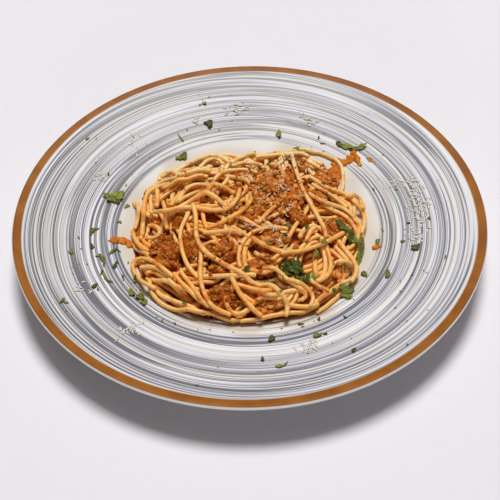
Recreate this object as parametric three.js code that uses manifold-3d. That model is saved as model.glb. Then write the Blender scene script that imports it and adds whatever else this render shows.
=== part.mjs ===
// Spaghetti bolognese served on a wide, shallow plate, in millimetres, +Z up.
// The origin is under the middle of the plate, on the surface it stands on.
// The plate is one turned solid with chopped parsley and grated cheese stuck to its rim.
// The pasta is one solid: a low mound with the strands that show laid over it and fused on.
// The meat sauce, the parsley leaves and the dabs of sauce are solids of their own.
import * as THREE from 'three';
import { mergeVertices } from 'three/addons/utils/BufferGeometryUtils.js';
import Module from 'manifold-3d';

const wasm = await Module();
wasm.setup();

// Driving sizes
const gap = 0.35; // clear space between neighbouring solids
const plate = {
  radius: 135, wellFloor: 8, sectors: 60,
  wellRise: 6.2, wellEdge: 48, shoulder: 92,
  rimRise: 12.3, rimStart: 86, rimEnd: 142, lipHeight: 3,
  footRadius: 72, footWidth: 5, recess: 3,
};
const heap = { y: -3, rise: 24, fullness: 0.7, spread: 0.93, coreDrop: 2.2, sectors: 28, rings: 5 };
const strand = { radius: 1.3, sides: 5, step: 6.2, sink: 0.5, sample: 1 };
const tuck = { depth: 2.4, length: 5 }; // how a strand's end dips into the mound

// How far the mound reaches from its middle, every 30 degrees from +X
const heapReach = [69, 67, 75, 67, 72, 71, 70, 73, 73, 71, 72, 69];

const colours = {
  glaze: 0xdcdcdc, pasta: 0xd9a05a, meat: 0x9a4f22, leaf: 0x3f6b25, sauce: 0xb85a1c,
};

function smoothStep(from, to, value) {
  const t = Math.min(1, Math.max(0, (value - from) / (to - from)));
  return t * t * (3 - 2 * t);
}

// A small seeded generator of numbers from 0 to 1
function seededRandom(seed) {
  let state = seed;
  return () => {
    state = (state * 1664525 + 1013904223) % 4294967296;
    return state / 4294967296;
  };
}

// Height of the plate's upper surface at a distance from the middle
function plateTop(r) {
  return plate.wellFloor
    + plate.wellRise * smoothStep(plate.wellEdge, plate.shoulder, r)
    + plate.rimRise * smoothStep(plate.rimStart, plate.rimEnd, r);
}

// Catmull-Rom value round the closed list of reaches
function reachAt(angle) {
  const n = heapReach.length;
  const k = ((angle / (2 * Math.PI)) * n + n) % n;
  const i = Math.floor(k);
  const t = k - i;
  const [a, b, c, d] = [-1, 0, 1, 2].map((j) => heapReach[(i + j + n) % n]);
  return 0.5 * (2 * b + (c - a) * t + (2 * a - 5 * b + 4 * c - d) * t * t + (3 * b - a - 3 * c + d) * t ** 3);
}

// Share of the way from the mound's middle to its edge
function share(x, y) {
  return Math.hypot(x, y - heap.y) / reachAt(Math.atan2(y - heap.y, x));
}

// Gentle lumps, about one strand deep
function lumps(x, y) {
  return 0.8 * Math.sin(x * 0.23 + 1.3) * Math.cos(y * 0.27) + 0.6 * Math.sin(x * 0.11 - y * 0.19);
}

// Upper surface of the bare mound, lower than the strands that lie over it
function coreTop(x, y) {
  const full = Math.max(0, 1 - (share(x, y) / heap.spread) ** 2) ** heap.fullness;
  return plateTop(Math.hypot(x, y)) + gap + full * (heap.rise - heap.coreDrop + lumps(x, y));
}

// A three.js geometry as a solid, with its shared vertices merged and empty triangles dropped
function solidOf(geometry) {
  const bare = new THREE.BufferGeometry().setAttribute('position', geometry.getAttribute('position'));
  if (geometry.index) bare.setIndex(geometry.index);
  const merged = mergeVertices(bare, 1e-4);
  const kept = [];
  for (let i = 0; i < merged.index.count; i += 3) {
    const [a, b, c] = [0, 1, 2].map((j) => merged.index.getX(i + j));
    if (a !== b && b !== c && c !== a) kept.push(a, b, c);
  }
  return new wasm.Manifold(new wasm.Mesh({
    numProp: 3,
    vertProperties: merged.attributes.position.array,
    triVerts: new Uint32Array(kept),
  }));
}

// The largest body of a solid: loose scraps go, and so do hollows that the joins have sealed
function mainBody(solid) {
  return solid.decompose().reduce((best, one) => (one.volume() > best.volume() ? one : best));
}

function meshOf(name, solid, colour, roughness) {
  const { numProp, numVert, vertProperties, triVerts } = solid.getMesh();
  const position = new Float32Array(numVert * 3);
  for (let i = 0; i < numVert; i += 1) {
    position.set(vertProperties.subarray(i * numProp, i * numProp + 3), i * 3);
  }
  const geometry = new THREE.BufferGeometry();
  geometry.setAttribute('position', new THREE.BufferAttribute(position, 3));
  geometry.setIndex(new THREE.BufferAttribute(triVerts, 1));
  geometry.computeVertexNormals();
  const mesh = new THREE.Mesh(geometry, new THREE.MeshStandardMaterial({ color: colour, roughness, metalness: 0 }));
  mesh.name = name;
  return mesh;
}

// Moves every vertex of a geometry by a rule
function reshape(geometry, rule) {
  const position = geometry.getAttribute('position');
  for (let i = 0; i < position.count; i += 1) {
    position.setXYZ(i, ...rule(position.getX(i), position.getY(i), position.getZ(i)));
  }
  return geometry;
}

// The plate, turned from its profile: the upper surface, a rounded lip, the underside and a foot ring
function plateSolid() {
  const upper = [0, 50, 60, 70, 80, 90, 98, 105, 112, 119, 126, 133].map((r) => [r, plateTop(r)]);
  const lipTop = plateTop(133);
  const lip = [[134.5, lipTop - 0.4], [plate.radius, lipTop - 1.4], [134.2, lipTop - plate.lipHeight]];
  const under = [[122, 19.4], [104, 12.9], [86, 8.8]];
  const footOut = plate.footRadius + plate.footWidth / 2;
  const footIn = plate.footRadius - plate.footWidth / 2;
  const foot = [[footOut + 1, 6.4], [footOut, 0], [footIn, 0], [footIn - 1, plate.recess], [0, plate.recess]];
  const profile = [...upper, ...lip, ...under, ...foot].map(([r, z]) => new THREE.Vector2(r, z)).reverse();
  return solidOf(new THREE.LatheGeometry(profile, plate.sectors).rotateX(Math.PI / 2));
}

// The bare mound: rings of points from its edge to its middle, above and below
function coreSolid() {
  const profile = [];
  for (let i = 0; i <= heap.rings; i += 1) {
    const s = Math.sin((i / heap.rings) * (Math.PI / 2));
    profile.push(new THREE.Vector2(s, -1));
  }
  for (let i = heap.rings - 1; i >= 0; i -= 1) {
    const s = Math.sin((i / heap.rings) * (Math.PI / 2));
    profile.push(new THREE.Vector2(s, 1));
  }
  const unit = new THREE.LatheGeometry(profile, heap.sectors).rotateX(Math.PI / 2);
  return solidOf(reshape(unit, (ux, uy, uz) => {
    const reach = reachAt(Math.atan2(uy, ux)) * heap.spread;
    const x = ux * reach;
    const y = uy * reach + heap.y;
    const full = Math.hypot(ux, uy) < 0.999;
    const bottom = plateTop(Math.hypot(x, y)) + gap;
    return [x, y, uz > 0 && full ? coreTop(x, y) : bottom];
  }));
}

// Heights of what lies on the plate so far, on a grid one millimetre apart
const field = { half: 95, size: 191, height: new Float32Array(191 * 191) };

function fieldIndex(x, y) {
  return (Math.round(y) + field.half) * field.size + Math.round(x) + field.half;
}

function fillField(blobs) {
  for (let y = -field.half; y <= field.half; y += 1) {
    for (let x = -field.half; x <= field.half; x += 1) {
      const base = plateTop(Math.hypot(x, y)) + gap;
      const core = share(x, y) < heap.spread ? coreTop(x, y) - strand.sink : base;
      field.height[fieldIndex(x, y)] = Math.max(base, core, ...blobs.map((b) => blobTop(b, x, y)));
    }
  }
}

// The offsets of the grid under a strand, with how far its round side stands back there
const footprint = [];
for (let dy = -1; dy <= 1; dy += 1) {
  for (let dx = -1; dx <= 1; dx += 1) {
    const d = Math.hypot(dx, dy);
    if (d < strand.radius) footprint.push([dx, dy, Math.sqrt(strand.radius ** 2 - d * d)]);
  }
}

// Lays one strand over what is there: it rests on the high places and bridges the low ones
function layStrand(points, open = false) {
  const flat = new THREE.CatmullRomCurve3(points.map(([x, y]) => new THREE.Vector3(x, y, 0)), false, 'centripetal');
  const count = Math.max(4, Math.round(flat.getLength() / strand.sample));
  const route = flat.getSpacedPoints(count);
  const rest = route.map((p) => Math.max(
    ...footprint.map(([dx, dy, back]) => field.height[fieldIndex(p.x + dx, p.y + dy)] + back),
  ));
  route.forEach((p, i) => {
    const end = Math.min(i, count - i) * strand.sample;
    if (!open && end < tuck.length && share(p.x, p.y) < heap.spread * 0.9) {
      rest[i] -= tuck.depth * (1 - end / tuck.length);
    }
  });
  let z = [...rest];
  for (let pass = 0; pass < 40; pass += 1) {
    z = z.map((value, i) => {
      const before = z[Math.max(0, i - 1)];
      const after = z[Math.min(count, i + 1)];
      return Math.max(rest[i], (before + 2 * value + after) / 4);
    });
  }
  route.forEach((p, i) => {
    p.z = z[i];
    footprint.forEach(([dx, dy, back]) => {
      const k = fieldIndex(p.x + dx, p.y + dy);
      field.height[k] = Math.max(field.height[k], z[i] + back - strand.sink);
    });
  });
  return route;
}

function strandSolid(route) {
  const knots = route.filter((p, i) => i % 3 === 0 || i === route.length - 1);
  const path = new THREE.CatmullRomCurve3(knots);
  const section = new THREE.Shape();
  for (let i = 0; i < strand.sides; i += 1) {
    const a = (i / strand.sides) * 2 * Math.PI;
    const [u, v] = [strand.radius * Math.cos(a), strand.radius * Math.sin(a)];
    if (i === 0) section.moveTo(u, v);
    else section.lineTo(u, v);
  }
  const steps = Math.max(4, Math.round(path.getLength() / strand.step));
  return solidOf(new THREE.ExtrudeGeometry(section, { steps, extrudePath: path, bevelEnabled: false }));
}

// Strands that show, seen from above as x, y, the lowest first
const sideStrands = [
  [[-66, 22], [-62, 33], [-54, 43], [-45, 47], [-37, 42], [-36, 33]],
  [[-40, 40], [-32, 50], [-22, 55], [-14, 49], [-12, 39], [-17, 30]],
  [[-8, 38], [-2, 51], [7, 57], [17, 55], [24, 48], [26, 38]],
  [[16, 48], [26, 58], [37, 61], [47, 59], [55, 51], [59, 40], [57, 29], [50, 21]],
  [[55, 22], [60, 11], [63, 0], [63, -12], [60, -24], [52, -31]],
  [[50, -22], [57, -29], [60, -37], [58, -45], [50, -53], [40, -60], [30, -66]],
  [[-57, -44], [-56, -52], [-50, -60], [-40, -66], [-26, -70], [-10, -73], [5, -73], [20, -71], [31, -67]],
  [[-58, 30], [-63, 20], [-63, 8], [-63, -6], [-63, -18], [-57, -27]],
];
const topStrands = [
  [[-52, 8], [-46, 17], [-36, 20], [-26, 15], [-20, 6]],
  [[-48, 36], [-38, 38], [-28, 36], [-18, 39], [-6, 36], [0, 28]],
  [[-4, 46], [4, 38], [1, 30]],
  [[30, 44], [36, 38], [44, 40], [52, 36], [53, 27], [47, 20]],
  [[8, -8], [18, -10], [28, -6], [36, 4], [38, 14]],
  [[-52, 25], [-42, 28], [-30, 29], [-18, 27], [-8, 21]],
  [[-63, 17], [-62, 5], [-61, -8], [-58, -20]],
  [[-45, -40], [-50, -35], [-58, -30], [-65, -31], [-65, -37], [-57, -45], [-46, -53], [-36, -59]],
  [[-42, -44], [-34, -52], [-28, -59], [-21, -67]],
  [[-2, -56], [10, -57], [22, -57], [30, -60], [28, -64], [18, -66], [6, -65]],
  [[-46, -17], [-48, -10], [-46, -4], [-41, -2], [-37, -6]],
  [[-50, -2], [-41, 3], [-30, 6], [-20, 4], [-12, -3]],
  [[-48, 1], [-38, 0], [-27, -4], [-16, -8], [-8, -4], [-4, 6], [-4, 15]],
  [[-27, -19], [-18, -18], [-8, -14], [-1, -7], [1, 3]],
  [[-33, -1], [-37, -12], [-38, -25], [-35, -38], [-28, -50]],
  [[-25, -50], [-16, -51], [-6, -50], [4, -50], [13, -48]],
  [[-7, -46], [-6, -33], [-1, -24], [9, -20], [21, -20]],
  [[-4, -26], [2, -30], [8, -34], [16, -38], [23, -46]],
  [[-27, -33], [-27, -46], [-25, -59], [-17, -68], [-5, -72]],
  [[-31, -2], [-29, -16], [-25, -31], [-14, -42], [0, -51], [13, -56], [19, -64], [15, -70]],
  [[-14, -47], [-10, -53], [-5, -62], [3, -68], [12, -71]],
  [[41, -28], [45, -37], [44, -47], [38, -53]],
  [[36, -13], [32, -21], [24, -29]],
  [[34, 8], [43, 3], [54, 3], [61, -6], [62, -16], [57, -25]],
  [[54, -14], [45, -21], [35, -30], [26, -36]],
  [[28, 22], [31, 11], [36, -2], [41, -14], [45, -21]],
];

// Patches of meat sauce between the strands: middle, half sizes and how high they stand
const raguPatches = {
  ragu_back: { x: 15, y: 12, long: 17, wide: 22, high: 5.5 },
  ragu_left: { x: -48, y: -26, long: 7, wide: 9, high: 3.6 },
  ragu_left_inner: { x: -33, y: -24, long: 4, wide: 9, high: 3.2 },
  ragu_middle: { x: -15, y: -31, long: 8, wide: 7, high: 4 },
  ragu_front: { x: -15, y: -59, long: 9, wide: 7, high: 3.4 },
  ragu_centre: { x: 12, y: -28, long: 8.5, wide: 5.5, high: 3.6 },
  ragu_centre_front: { x: 4, y: -42, long: 7, wide: 5, high: 3.2 },
  ragu_right: { x: 50, y: -9, long: 6, wide: 5, high: 3 },
  ragu_right_back: { x: 43, y: 14, long: 7, wide: 6.5, high: 3.4 },
};

// How a patch strays from a plain mound: its outline is lobed, and minced meat makes its top knobbly
function outline(ux, uy, seed) {
  const a = Math.atan2(uy, ux);
  return 1 + 0.09 * Math.sin(3 * a + seed) + 0.07 * Math.sin(7 * a + 2 * seed);
}

function knobs(ux, uy, seed) {
  return 1 + 0.16 * Math.sin(8 * ux + seed) * Math.sin(9 * uy + 3 * seed) + 0.1 * Math.sin(14 * ux - 6 * uy);
}

function raguSolid(patch, extra) {
  const seed = patch.x * 0.7 + patch.y;
  const ball = new THREE.IcosahedronGeometry(1, patch.long > 10 ? 3 : 2);
  ball.deleteAttribute('normal');
  ball.deleteAttribute('uv');
  const shape = reshape(mergeVertices(ball, 1e-4), (ux, uy, uz) => {
    const x = patch.x + ux * patch.long * outline(ux, uy, seed);
    const y = patch.y + uy * patch.wide * outline(ux, uy, seed);
    return [x, y, coreTop(x, y) + uz * (uz > 0 ? patch.high * knobs(ux, uy, seed) : 2.4)];
  });
  shape.computeVertexNormals();
  const normal = shape.getAttribute('normal');
  const position = shape.getAttribute('position');
  for (let i = 0; i < position.count; i += 1) {
    position.setX(i, position.getX(i) + normal.getX(i) * extra);
    position.setY(i, position.getY(i) + normal.getY(i) * extra);
    position.setZ(i, position.getZ(i) + normal.getZ(i) * extra);
  }
  return solidOf(shape);
}

// Height that a strand has to clear over a patch
function blobTop(patch, x, y) {
  const inside = 1 - ((x - patch.x) / (patch.long * 1.16)) ** 2 - ((y - patch.y) / (patch.wide * 1.16)) ** 2;
  return inside > 0 ? coreTop(x, y) + patch.high * 1.16 * Math.sqrt(inside) + gap : -Infinity;
}

// A thin wavy leaf: the same fan of triangles above and below, joined round its lobed edge
function leafSolid(leaf) {
  const [sectors, rings, thick] = [leaf.lobes * 4, 2, 0.5];
  const turn = THREE.MathUtils.degToRad(leaf.turn);
  const spots = [];
  let floor = -Infinity;
  for (let ring = 0; ring <= rings; ring += 1) {
    for (let i = 0; i < (ring ? sectors : 1); i += 1) {
      const a = (i / sectors) * 2 * Math.PI;
      const lobe = 0.8 + 0.2 * Math.cos(leaf.lobes * a) + 0.05 * Math.sin(3 * a + leaf.turn);
      const u = (ring / rings) * lobe * (leaf.long / 2) * Math.cos(a);
      const v = (ring / rings) * lobe * (leaf.wide / 2) * Math.sin(a);
      const x = leaf.x + u * Math.cos(turn) - v * Math.sin(turn);
      const y = leaf.y + u * Math.sin(turn) + v * Math.cos(turn);
      const wave = 0.35 * (1 + Math.sin(leaf.lobes * a + ring)) * (ring / rings);
      spots.push([x, y, wave, x - leaf.x, y - leaf.y]);
      for (let dx = -1; dx <= 1; dx += 1) {
        for (let dy = -1; dy <= 1; dy += 1) {
          const under = field.height[fieldIndex(x + dx, y + dy)] + strand.sink;
          floor = Math.max(floor, under - leaf.lean[0] * (x - leaf.x) - leaf.lean[1] * (y - leaf.y));
        }
      }
    }
  }
  const n = spots.length;
  const position = [];
  [thick, 0].forEach((lift) => spots.forEach(([x, y, wave, dx, dy]) => {
    position.push(x, y, floor + gap + lift + wave + leaf.lean[0] * dx + leaf.lean[1] * dy);
  }));
  const index = [];
  const at = (ring, i) => (ring ? 1 + (ring - 1) * sectors + ((i + sectors) % sectors) : 0);
  const face = (a, b, c) => index.push(a, b, c, n + a, n + c, n + b);
  for (let i = 0; i < sectors; i += 1) {
    face(0, at(1, i), at(1, i + 1));
    for (let ring = 1; ring < rings; ring += 1) {
      face(at(ring, i), at(ring + 1, i), at(ring + 1, i + 1));
      face(at(ring, i), at(ring + 1, i + 1), at(ring, i + 1));
    }
    const [a, b] = [at(rings, i), at(rings, i + 1)];
    index.push(a, n + a, n + b, a, n + b, b);
  }
  const geometry = new THREE.BufferGeometry();
  geometry.setAttribute('position', new THREE.Float32BufferAttribute(position, 3));
  geometry.setIndex(index);
  return solidOf(geometry);
}

const leaves = {
  parsley_centre: { x: 23, y: -44, long: 15, wide: 11, turn: 170, lobes: 5, lean: [0, 0.25] },
  parsley_right: { x: 56, y: -14, long: 14, wide: 6, turn: 120, lobes: 3, lean: [-0.3, 0] },
  parsley_right_edge: { x: 63, y: -23, long: 14, wide: 4, turn: 103, lobes: 3, lean: [-0.4, 0] },
  parsley_left_rim: { x: -80, y: 25, long: 12, wide: 9, turn: 30, lobes: 4, lean: [-0.1, 0] },
  parsley_back_rim: { x: 65, y: 63, long: 17, wide: 5.5, turn: 175, lobes: 4, lean: [0.1, 0.1] },
  parsley_front_right: { x: 53, y: -53, long: 8, wide: 6.5, turn: 60, lobes: 4, lean: [0.05, -0.05] },
  parsley_front_left: { x: -62, y: -53, long: 10, wide: 5.5, turn: 120, lobes: 4, lean: [-0.05, -0.05] },
  parsley_back_left: { x: -42, y: 61, long: 8, wide: 5, turn: 30, lobes: 3, lean: [-0.05, 0.05] },
};

// Dabs of sauce that fell beside the pasta
const dabs = {
  sauce_dab_left: { x: -75.2, y: -9.6, long: 12.5, wide: 5, turn: -8, high: 1.6 },
  sauce_dab_right: { x: 73, y: -19, long: 5.5, wide: 4, turn: 20, high: 1.8 },
  sauce_dab_back: { x: 64.5, y: 54, long: 11, wide: 5.5, turn: 15, high: 1.8 },
};

function dabSolid(dab) {
  const turn = THREE.MathUtils.degToRad(dab.turn);
  return solidOf(reshape(new THREE.IcosahedronGeometry(1, 1), (ux, uy, uz) => {
    const [u, v] = [ux * (dab.long / 2), uy * (dab.wide / 2) + 0.12 * dab.wide * (ux * ux - 0.5)];
    const x = dab.x + u * Math.cos(turn) - v * Math.sin(turn);
    const y = dab.y + u * Math.sin(turn) + v * Math.cos(turn);
    const base = plateTop(Math.hypot(x, y)) + gap;
    return [x, y, base + (uz > 0 ? uz * dab.high : uz * 0.02)];
  }));
}

// A crumb or shred stuck on the rim: a three-sided bar lying along the surface, partly sunk in it
function scrapSolid(x, y, long, wide, high, turn) {
  const [angle, r] = [Math.atan2(y, x), Math.hypot(x, y)];
  const slope = (plateTop(r + 1) - plateTop(r - 1)) / 2;
  const bar = new THREE.CylinderGeometry(1, 1, long, 3);
  bar.scale(wide / 1.73, 1, high);
  bar.rotateZ(turn - angle - Math.PI / 2);
  bar.rotateY(-Math.atan(slope));
  bar.translate(r, 0, plateTop(r));
  bar.rotateZ(angle);
  return solidOf(bar);
}

// Chopped parsley on the rim: place, length, width and turn in degrees
const rimParsley = [
  [34, -83, 5, 3.5, 28], [94, -23, 6, 4, 42], [10, -84, 4.5, 3, 72], [20, 79, 6, 3.5, 81],
  [-24, 89, 6, 4.5, 125], [-81, -38, 6, 2.2, 115], [-84, -24, 5.5, 2.5, 119], [-76, -29, 5.5, 2.2, 71],
  [76, -41, 6.5, 2.6, 81], [-91, -3, 6, 3.2, 71], [-42, 77, 7, 1.4, 119], [-101, -61, 4, 2, 67],
  [-101, -21, 4.5, 2.2, 91], [14, -105, 5, 1.6, 10], [52, -97, 2.8, 2, 61], [-27, 105, 3, 1.6, 5],
];

// Drifts of grated cheese on the rim: direction in degrees, distance from the middle, how many shreds
const rimCheese = [
  [6, 101, 6], [19, 96, 3], [67, 97, 3], [93, 101, 4], [155, 98, 3], [230, 101, 3], [289, 95, 3], [353, 97, 3],
];

function rimScraps() {
  const random = seededRandom(7);
  const scraps = rimParsley.map(([x, y, long, wide, turn]) => (
    scrapSolid(x, y, long, wide, 0.6, THREE.MathUtils.degToRad(turn))
  ));
  rimCheese.forEach(([degrees, middle, count]) => {
    for (let i = 0; i < count; i += 1) {
      const a = THREE.MathUtils.degToRad(degrees + 10 * (random() - 0.5));
      const r = middle + 12 * (random() - 0.5);
      scraps.push(scrapSolid(r * Math.cos(a), r * Math.sin(a), 4 + 3 * random(), 1.1, 0.7, random() * Math.PI));
    }
  });
  return scraps;
}

const dish = new THREE.Group();

const patches = Object.entries(raguPatches);
fillField(Object.values(raguPatches));
const routes = [
  ...sideStrands.map((points) => layStrand(points, true)),
  ...topStrands.map((points) => layStrand(points)),
];

let pasta = coreSolid();
routes.forEach((route) => {
  pasta = pasta.add(strandSolid(route));
});
patches.forEach(([, patch]) => {
  pasta = pasta.subtract(raguSolid(patch, gap + 0.1));
});
dish.add(meshOf('pasta', mainBody(pasta.simplify(0.1)), colours.pasta, 0.45));

patches.forEach(([name, patch]) => dish.add(meshOf(name, raguSolid(patch, 0), colours.meat, 0.5)));
Object.entries(leaves).forEach(([name, leaf]) => dish.add(meshOf(name, leafSolid(leaf), colours.leaf, 0.6)));
Object.entries(dabs).forEach(([name, dab]) => dish.add(meshOf(name, dabSolid(dab), colours.sauce, 0.35)));

const plateParts = rimScraps().reduce((whole, scrap) => whole.add(scrap), plateSolid());
dish.add(meshOf('plate', mainBody(plateParts), colours.glaze, 0.2));

export default dish;
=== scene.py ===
# Spaghetti bolognese on a wide striped plate, dressed for its picture.
# Lengths below are in millimetres unless a note says otherwise; mm turns them into metres.
import math

import bmesh
import bpy
import numpy as np
from mathutils import Matrix


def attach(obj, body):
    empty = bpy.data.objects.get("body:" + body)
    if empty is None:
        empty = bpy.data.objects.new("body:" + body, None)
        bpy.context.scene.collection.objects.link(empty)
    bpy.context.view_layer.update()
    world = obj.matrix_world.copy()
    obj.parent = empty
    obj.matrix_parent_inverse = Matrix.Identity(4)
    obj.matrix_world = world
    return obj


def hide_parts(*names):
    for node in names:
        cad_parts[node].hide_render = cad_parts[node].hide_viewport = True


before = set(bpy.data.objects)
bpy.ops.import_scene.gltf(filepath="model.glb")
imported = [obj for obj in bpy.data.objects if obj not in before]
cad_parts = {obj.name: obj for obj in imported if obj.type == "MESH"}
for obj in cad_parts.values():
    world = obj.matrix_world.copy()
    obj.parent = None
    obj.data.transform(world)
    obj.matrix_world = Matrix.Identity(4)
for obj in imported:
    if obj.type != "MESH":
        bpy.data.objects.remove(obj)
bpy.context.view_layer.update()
mm = 0.001
print("frame loaded")


# An sRGB colour, 0 to 255, as the linear one that shaders take
def tone(red, green, blue):
    values = np.array([red, green, blue]) / 255
    linear = np.where(values < 0.04045, values / 12.92, ((values + 0.055) / 1.055) ** 2.4)
    return (*linear.tolist(), 1.0)


# 0 at start, 1 at end, and 3t^2 - 2t^3 between
def smooth(start, end, value):
    t = np.clip((value - start) / (end - start), 0, 1)
    return t * t * (3 - 2 * t)


# The plate's and the mound's forms, as in the solids
plateForm = dict(wellFloor=8, wellRise=6.2, wellEdge=48, shoulder=92, rimRise=12.3, rimStart=86, rimEnd=142)
heapForm = dict(y=-3, rise=24, fullness=0.7, reach=[69, 67, 75, 67, 72, 71, 70, 73, 73, 71, 72, 69])
camera = dict(place=(-0.02, -418.26, 446.94), target=(-0.02, -25.67, 20.0), lens=74.55, roll=-1.45)
random = np.random.default_rng(11)


# Height of the plate's upper surface: flat well, soft rise, and a rim that rises to its lip
def plateTop(r):
    form = plateForm
    well = form["wellFloor"] + form["wellRise"] * smooth(form["wellEdge"], form["shoulder"], r)
    return well + form["rimRise"] * smooth(form["rimStart"], form["rimEnd"], r)


# Values at even spacing, read at place k by a Catmull-Rom curve; ahead gives the value at a whole place
def throughValues(ahead, k):
    i = np.floor(k).astype(int)
    t = k - i
    a, b, c, d = (ahead(i + j) for j in (-1, 0, 1, 2))
    return 0.5 * (2 * b + (c - a) * t + (2 * a - 5 * b + 4 * c - d) * t**2 + (3 * b - a - 3 * c + d) * t**3)


# Share of the way from the mound's middle to its outline, which has a reach every 30 degrees
def share(x, y):
    reach = np.array(heapForm["reach"], float)
    turn = np.arctan2(y - heapForm["y"], x) / (2 * np.pi) * 12
    return np.hypot(x, y - heapForm["y"]) / throughValues(lambda i: reach[i % 12], turn % 12)


# Height where the highest strands lie: the plate, one strand, and a low dome (1 - share^2)^fullness
def heapTop(x, y):
    dome = np.clip(1 - share(x, y) ** 2, 0, 1) ** heapForm["fullness"]
    return plateTop(np.hypot(x, y)) + 2.6 + heapForm["rise"] * dome


# Smooth uneven field: a sum of a few waves in seeded directions with wavelengths near size
def waves(x, y, size, seed):
    count = 7
    draw = np.random.default_rng(seed)
    total = 0
    for angle, phase, stretch in draw.uniform((0, 0, 0.6), (np.pi * 2, np.pi * 2, 1.6), (count, 3)):
        along = x * math.cos(angle) + y * math.sin(angle)
        total = total + np.sin(along * 2 * np.pi / (size * stretch) + phase)
    return total / math.sqrt(count)


# Makes one closed mesh from points in millimetres, quads and triangles, with a value per point for each name
def addPiece(name, points, quads, triangles, material, replaced, values):
    mesh = bpy.data.meshes.new(name)
    quads, triangles = np.asarray(quads, int).reshape(-1, 4), np.asarray(triangles, int).reshape(-1, 3)
    corners = np.concatenate([quads.ravel(), triangles.ravel()]).astype(np.int32)
    starts = np.concatenate([np.arange(len(quads)) * 4, len(quads) * 4 + np.arange(len(triangles)) * 3])
    mesh.vertices.add(len(points))
    mesh.vertices.foreach_set("co", (np.asarray(points) * mm).astype(np.float32).ravel())
    mesh.loops.add(len(corners))
    mesh.loops.foreach_set("vertex_index", corners)
    mesh.polygons.add(len(starts))
    mesh.polygons.foreach_set("loop_start", starts.astype(np.int32))
    mesh.update(calc_edges=True)
    mesh.validate()
    mesh.shade_smooth()
    for label, data in values.items():
        mesh.attributes.new(label, "FLOAT", "POINT").data.foreach_set("value", np.asarray(data, np.float32))
    mesh.materials.append(material)
    piece = bpy.data.objects.new(name, mesh)
    bpy.context.collection.objects.link(piece)
    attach(piece, "root")
    if replaced:
        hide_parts(*replaced)
    print(name, len(quads) * 2 + len(triangles), "triangles")


# Quads between rows of a grid whose columns close on themselves, facing up where rows go outwards and columns
# turn counter-clockwise. The fans close the first and the last row to a middle point each
def ringFaces(rows, columns, first=0):
    i, j = np.meshgrid(np.arange(rows - 1), np.arange(columns), indexing="ij")
    a, b = first + i * columns + j, first + i * columns + (j + 1) % columns
    quads = np.stack([a, a + columns, b + columns, b], -1).reshape(-1, 4)
    j = np.arange(columns)
    n = (j + 1) % columns
    last, tip = first + (rows - 1) * columns, first + rows * columns
    fans = np.concatenate([np.stack([np.full(columns, tip), j + first, n + first], -1),
                           np.stack([np.full(columns, tip + 1), n + last, j + last], -1)])
    return quads, fans


def newMaterial(name):
    material = bpy.data.materials.new(name)
    material.use_nodes = True
    return material, material.node_tree, material.node_tree.nodes["Principled BSDF"]


# Adds a node; an input may be a plain value or another node's output
def addNode(tree, kind, inputs=None, **settings):
    node = tree.nodes.new(kind)
    for key, value in settings.items():
        setattr(node, key, value)
    for key, value in (inputs or {}).items():
        if isinstance(value, bpy.types.NodeSocket):
            tree.links.new(value, node.inputs[key])
        else:
            node.inputs[key].default_value = value
    return node


def calculate(tree, operation, *terms, clamp=False):
    node = addNode(tree, "ShaderNodeMath", dict(enumerate(terms)), operation=operation, use_clamp=clamp)
    return node.outputs[0]


def blendColours(tree, amount, first, second, mode="MIX"):
    node = addNode(tree, "ShaderNodeMix", {0: amount, 6: first, 7: second}, data_type="RGBA", blend_type=mode)
    return node.outputs[2]


def speckle(tree, place, scale, detail=2.0, roughness=0.5):
    inputs = {"Vector": place, "Scale": scale, "Detail": detail, "Roughness": roughness}
    return addNode(tree, "ShaderNodeTexNoise", inputs).outputs["Fac"]


# A value stretched from low..high to 0..1 with soft ends
def between(tree, value, low, high):
    inputs = {"Value": value, "From Min": low, "From Max": high}
    return addNode(tree, "ShaderNodeMapRange", inputs, interpolation_type="SMOOTHSTEP").outputs[0]


def objectPlace(tree):
    return addNode(tree, "ShaderNodeTexCoord").outputs["Object"]


# The x, y or z of a vector, for axis 0, 1 or 2
def partOf(tree, vector, axis):
    return addNode(tree, "ShaderNodeSeparateXYZ", {0: vector}).outputs[axis]


def attribute(tree, name):
    return addNode(tree, "ShaderNodeAttribute", attribute_name=name).outputs["Fac"]


def bump(tree, height, strength, distance):
    inputs = {"Height": height, "Strength": strength, "Distance": distance}
    return addNode(tree, "ShaderNodeBump", inputs).outputs[0]


def setShader(shader, **values):
    for label, value in values.items():
        shader.inputs[label.replace("_", " ")].default_value = value


# Group: an oily film in drops and patches, put out as a roughness that is low where the film lies
def makeOilFilm():
    group = bpy.data.node_groups.new("oilFilm", "ShaderNodeTree")
    for label, value in (("Scale", 300.0), ("Dry", 0.55), ("Wet", 0.2)):
        group.interface.new_socket(label, in_out="INPUT", socket_type="NodeSocketFloat").default_value = value
    group.interface.new_socket("Roughness", in_out="OUTPUT", socket_type="NodeSocketFloat")
    start, end = group.nodes.new("NodeGroupInput"), group.nodes.new("NodeGroupOutput")
    mask = between(group, speckle(group, objectPlace(group), start.outputs["Scale"], 3.0), 0.42, 0.6)
    inputs = {"Value": mask, "To Min": start.outputs["Dry"], "To Max": start.outputs["Wet"]}
    rough = addNode(group, "ShaderNodeMapRange", inputs).outputs[0]
    group.links.new(rough, end.inputs["Roughness"])
    return group


oilFilm = makeOilFilm()


def oiled(tree, scale, dry, wet):
    node = tree.nodes.new("ShaderNodeGroup")
    node.node_tree = oilFilm
    for label, value in (("Scale", scale), ("Dry", dry), ("Wet", wet)):
        node.inputs[label].default_value = value
    return node.outputs["Roughness"]


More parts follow.
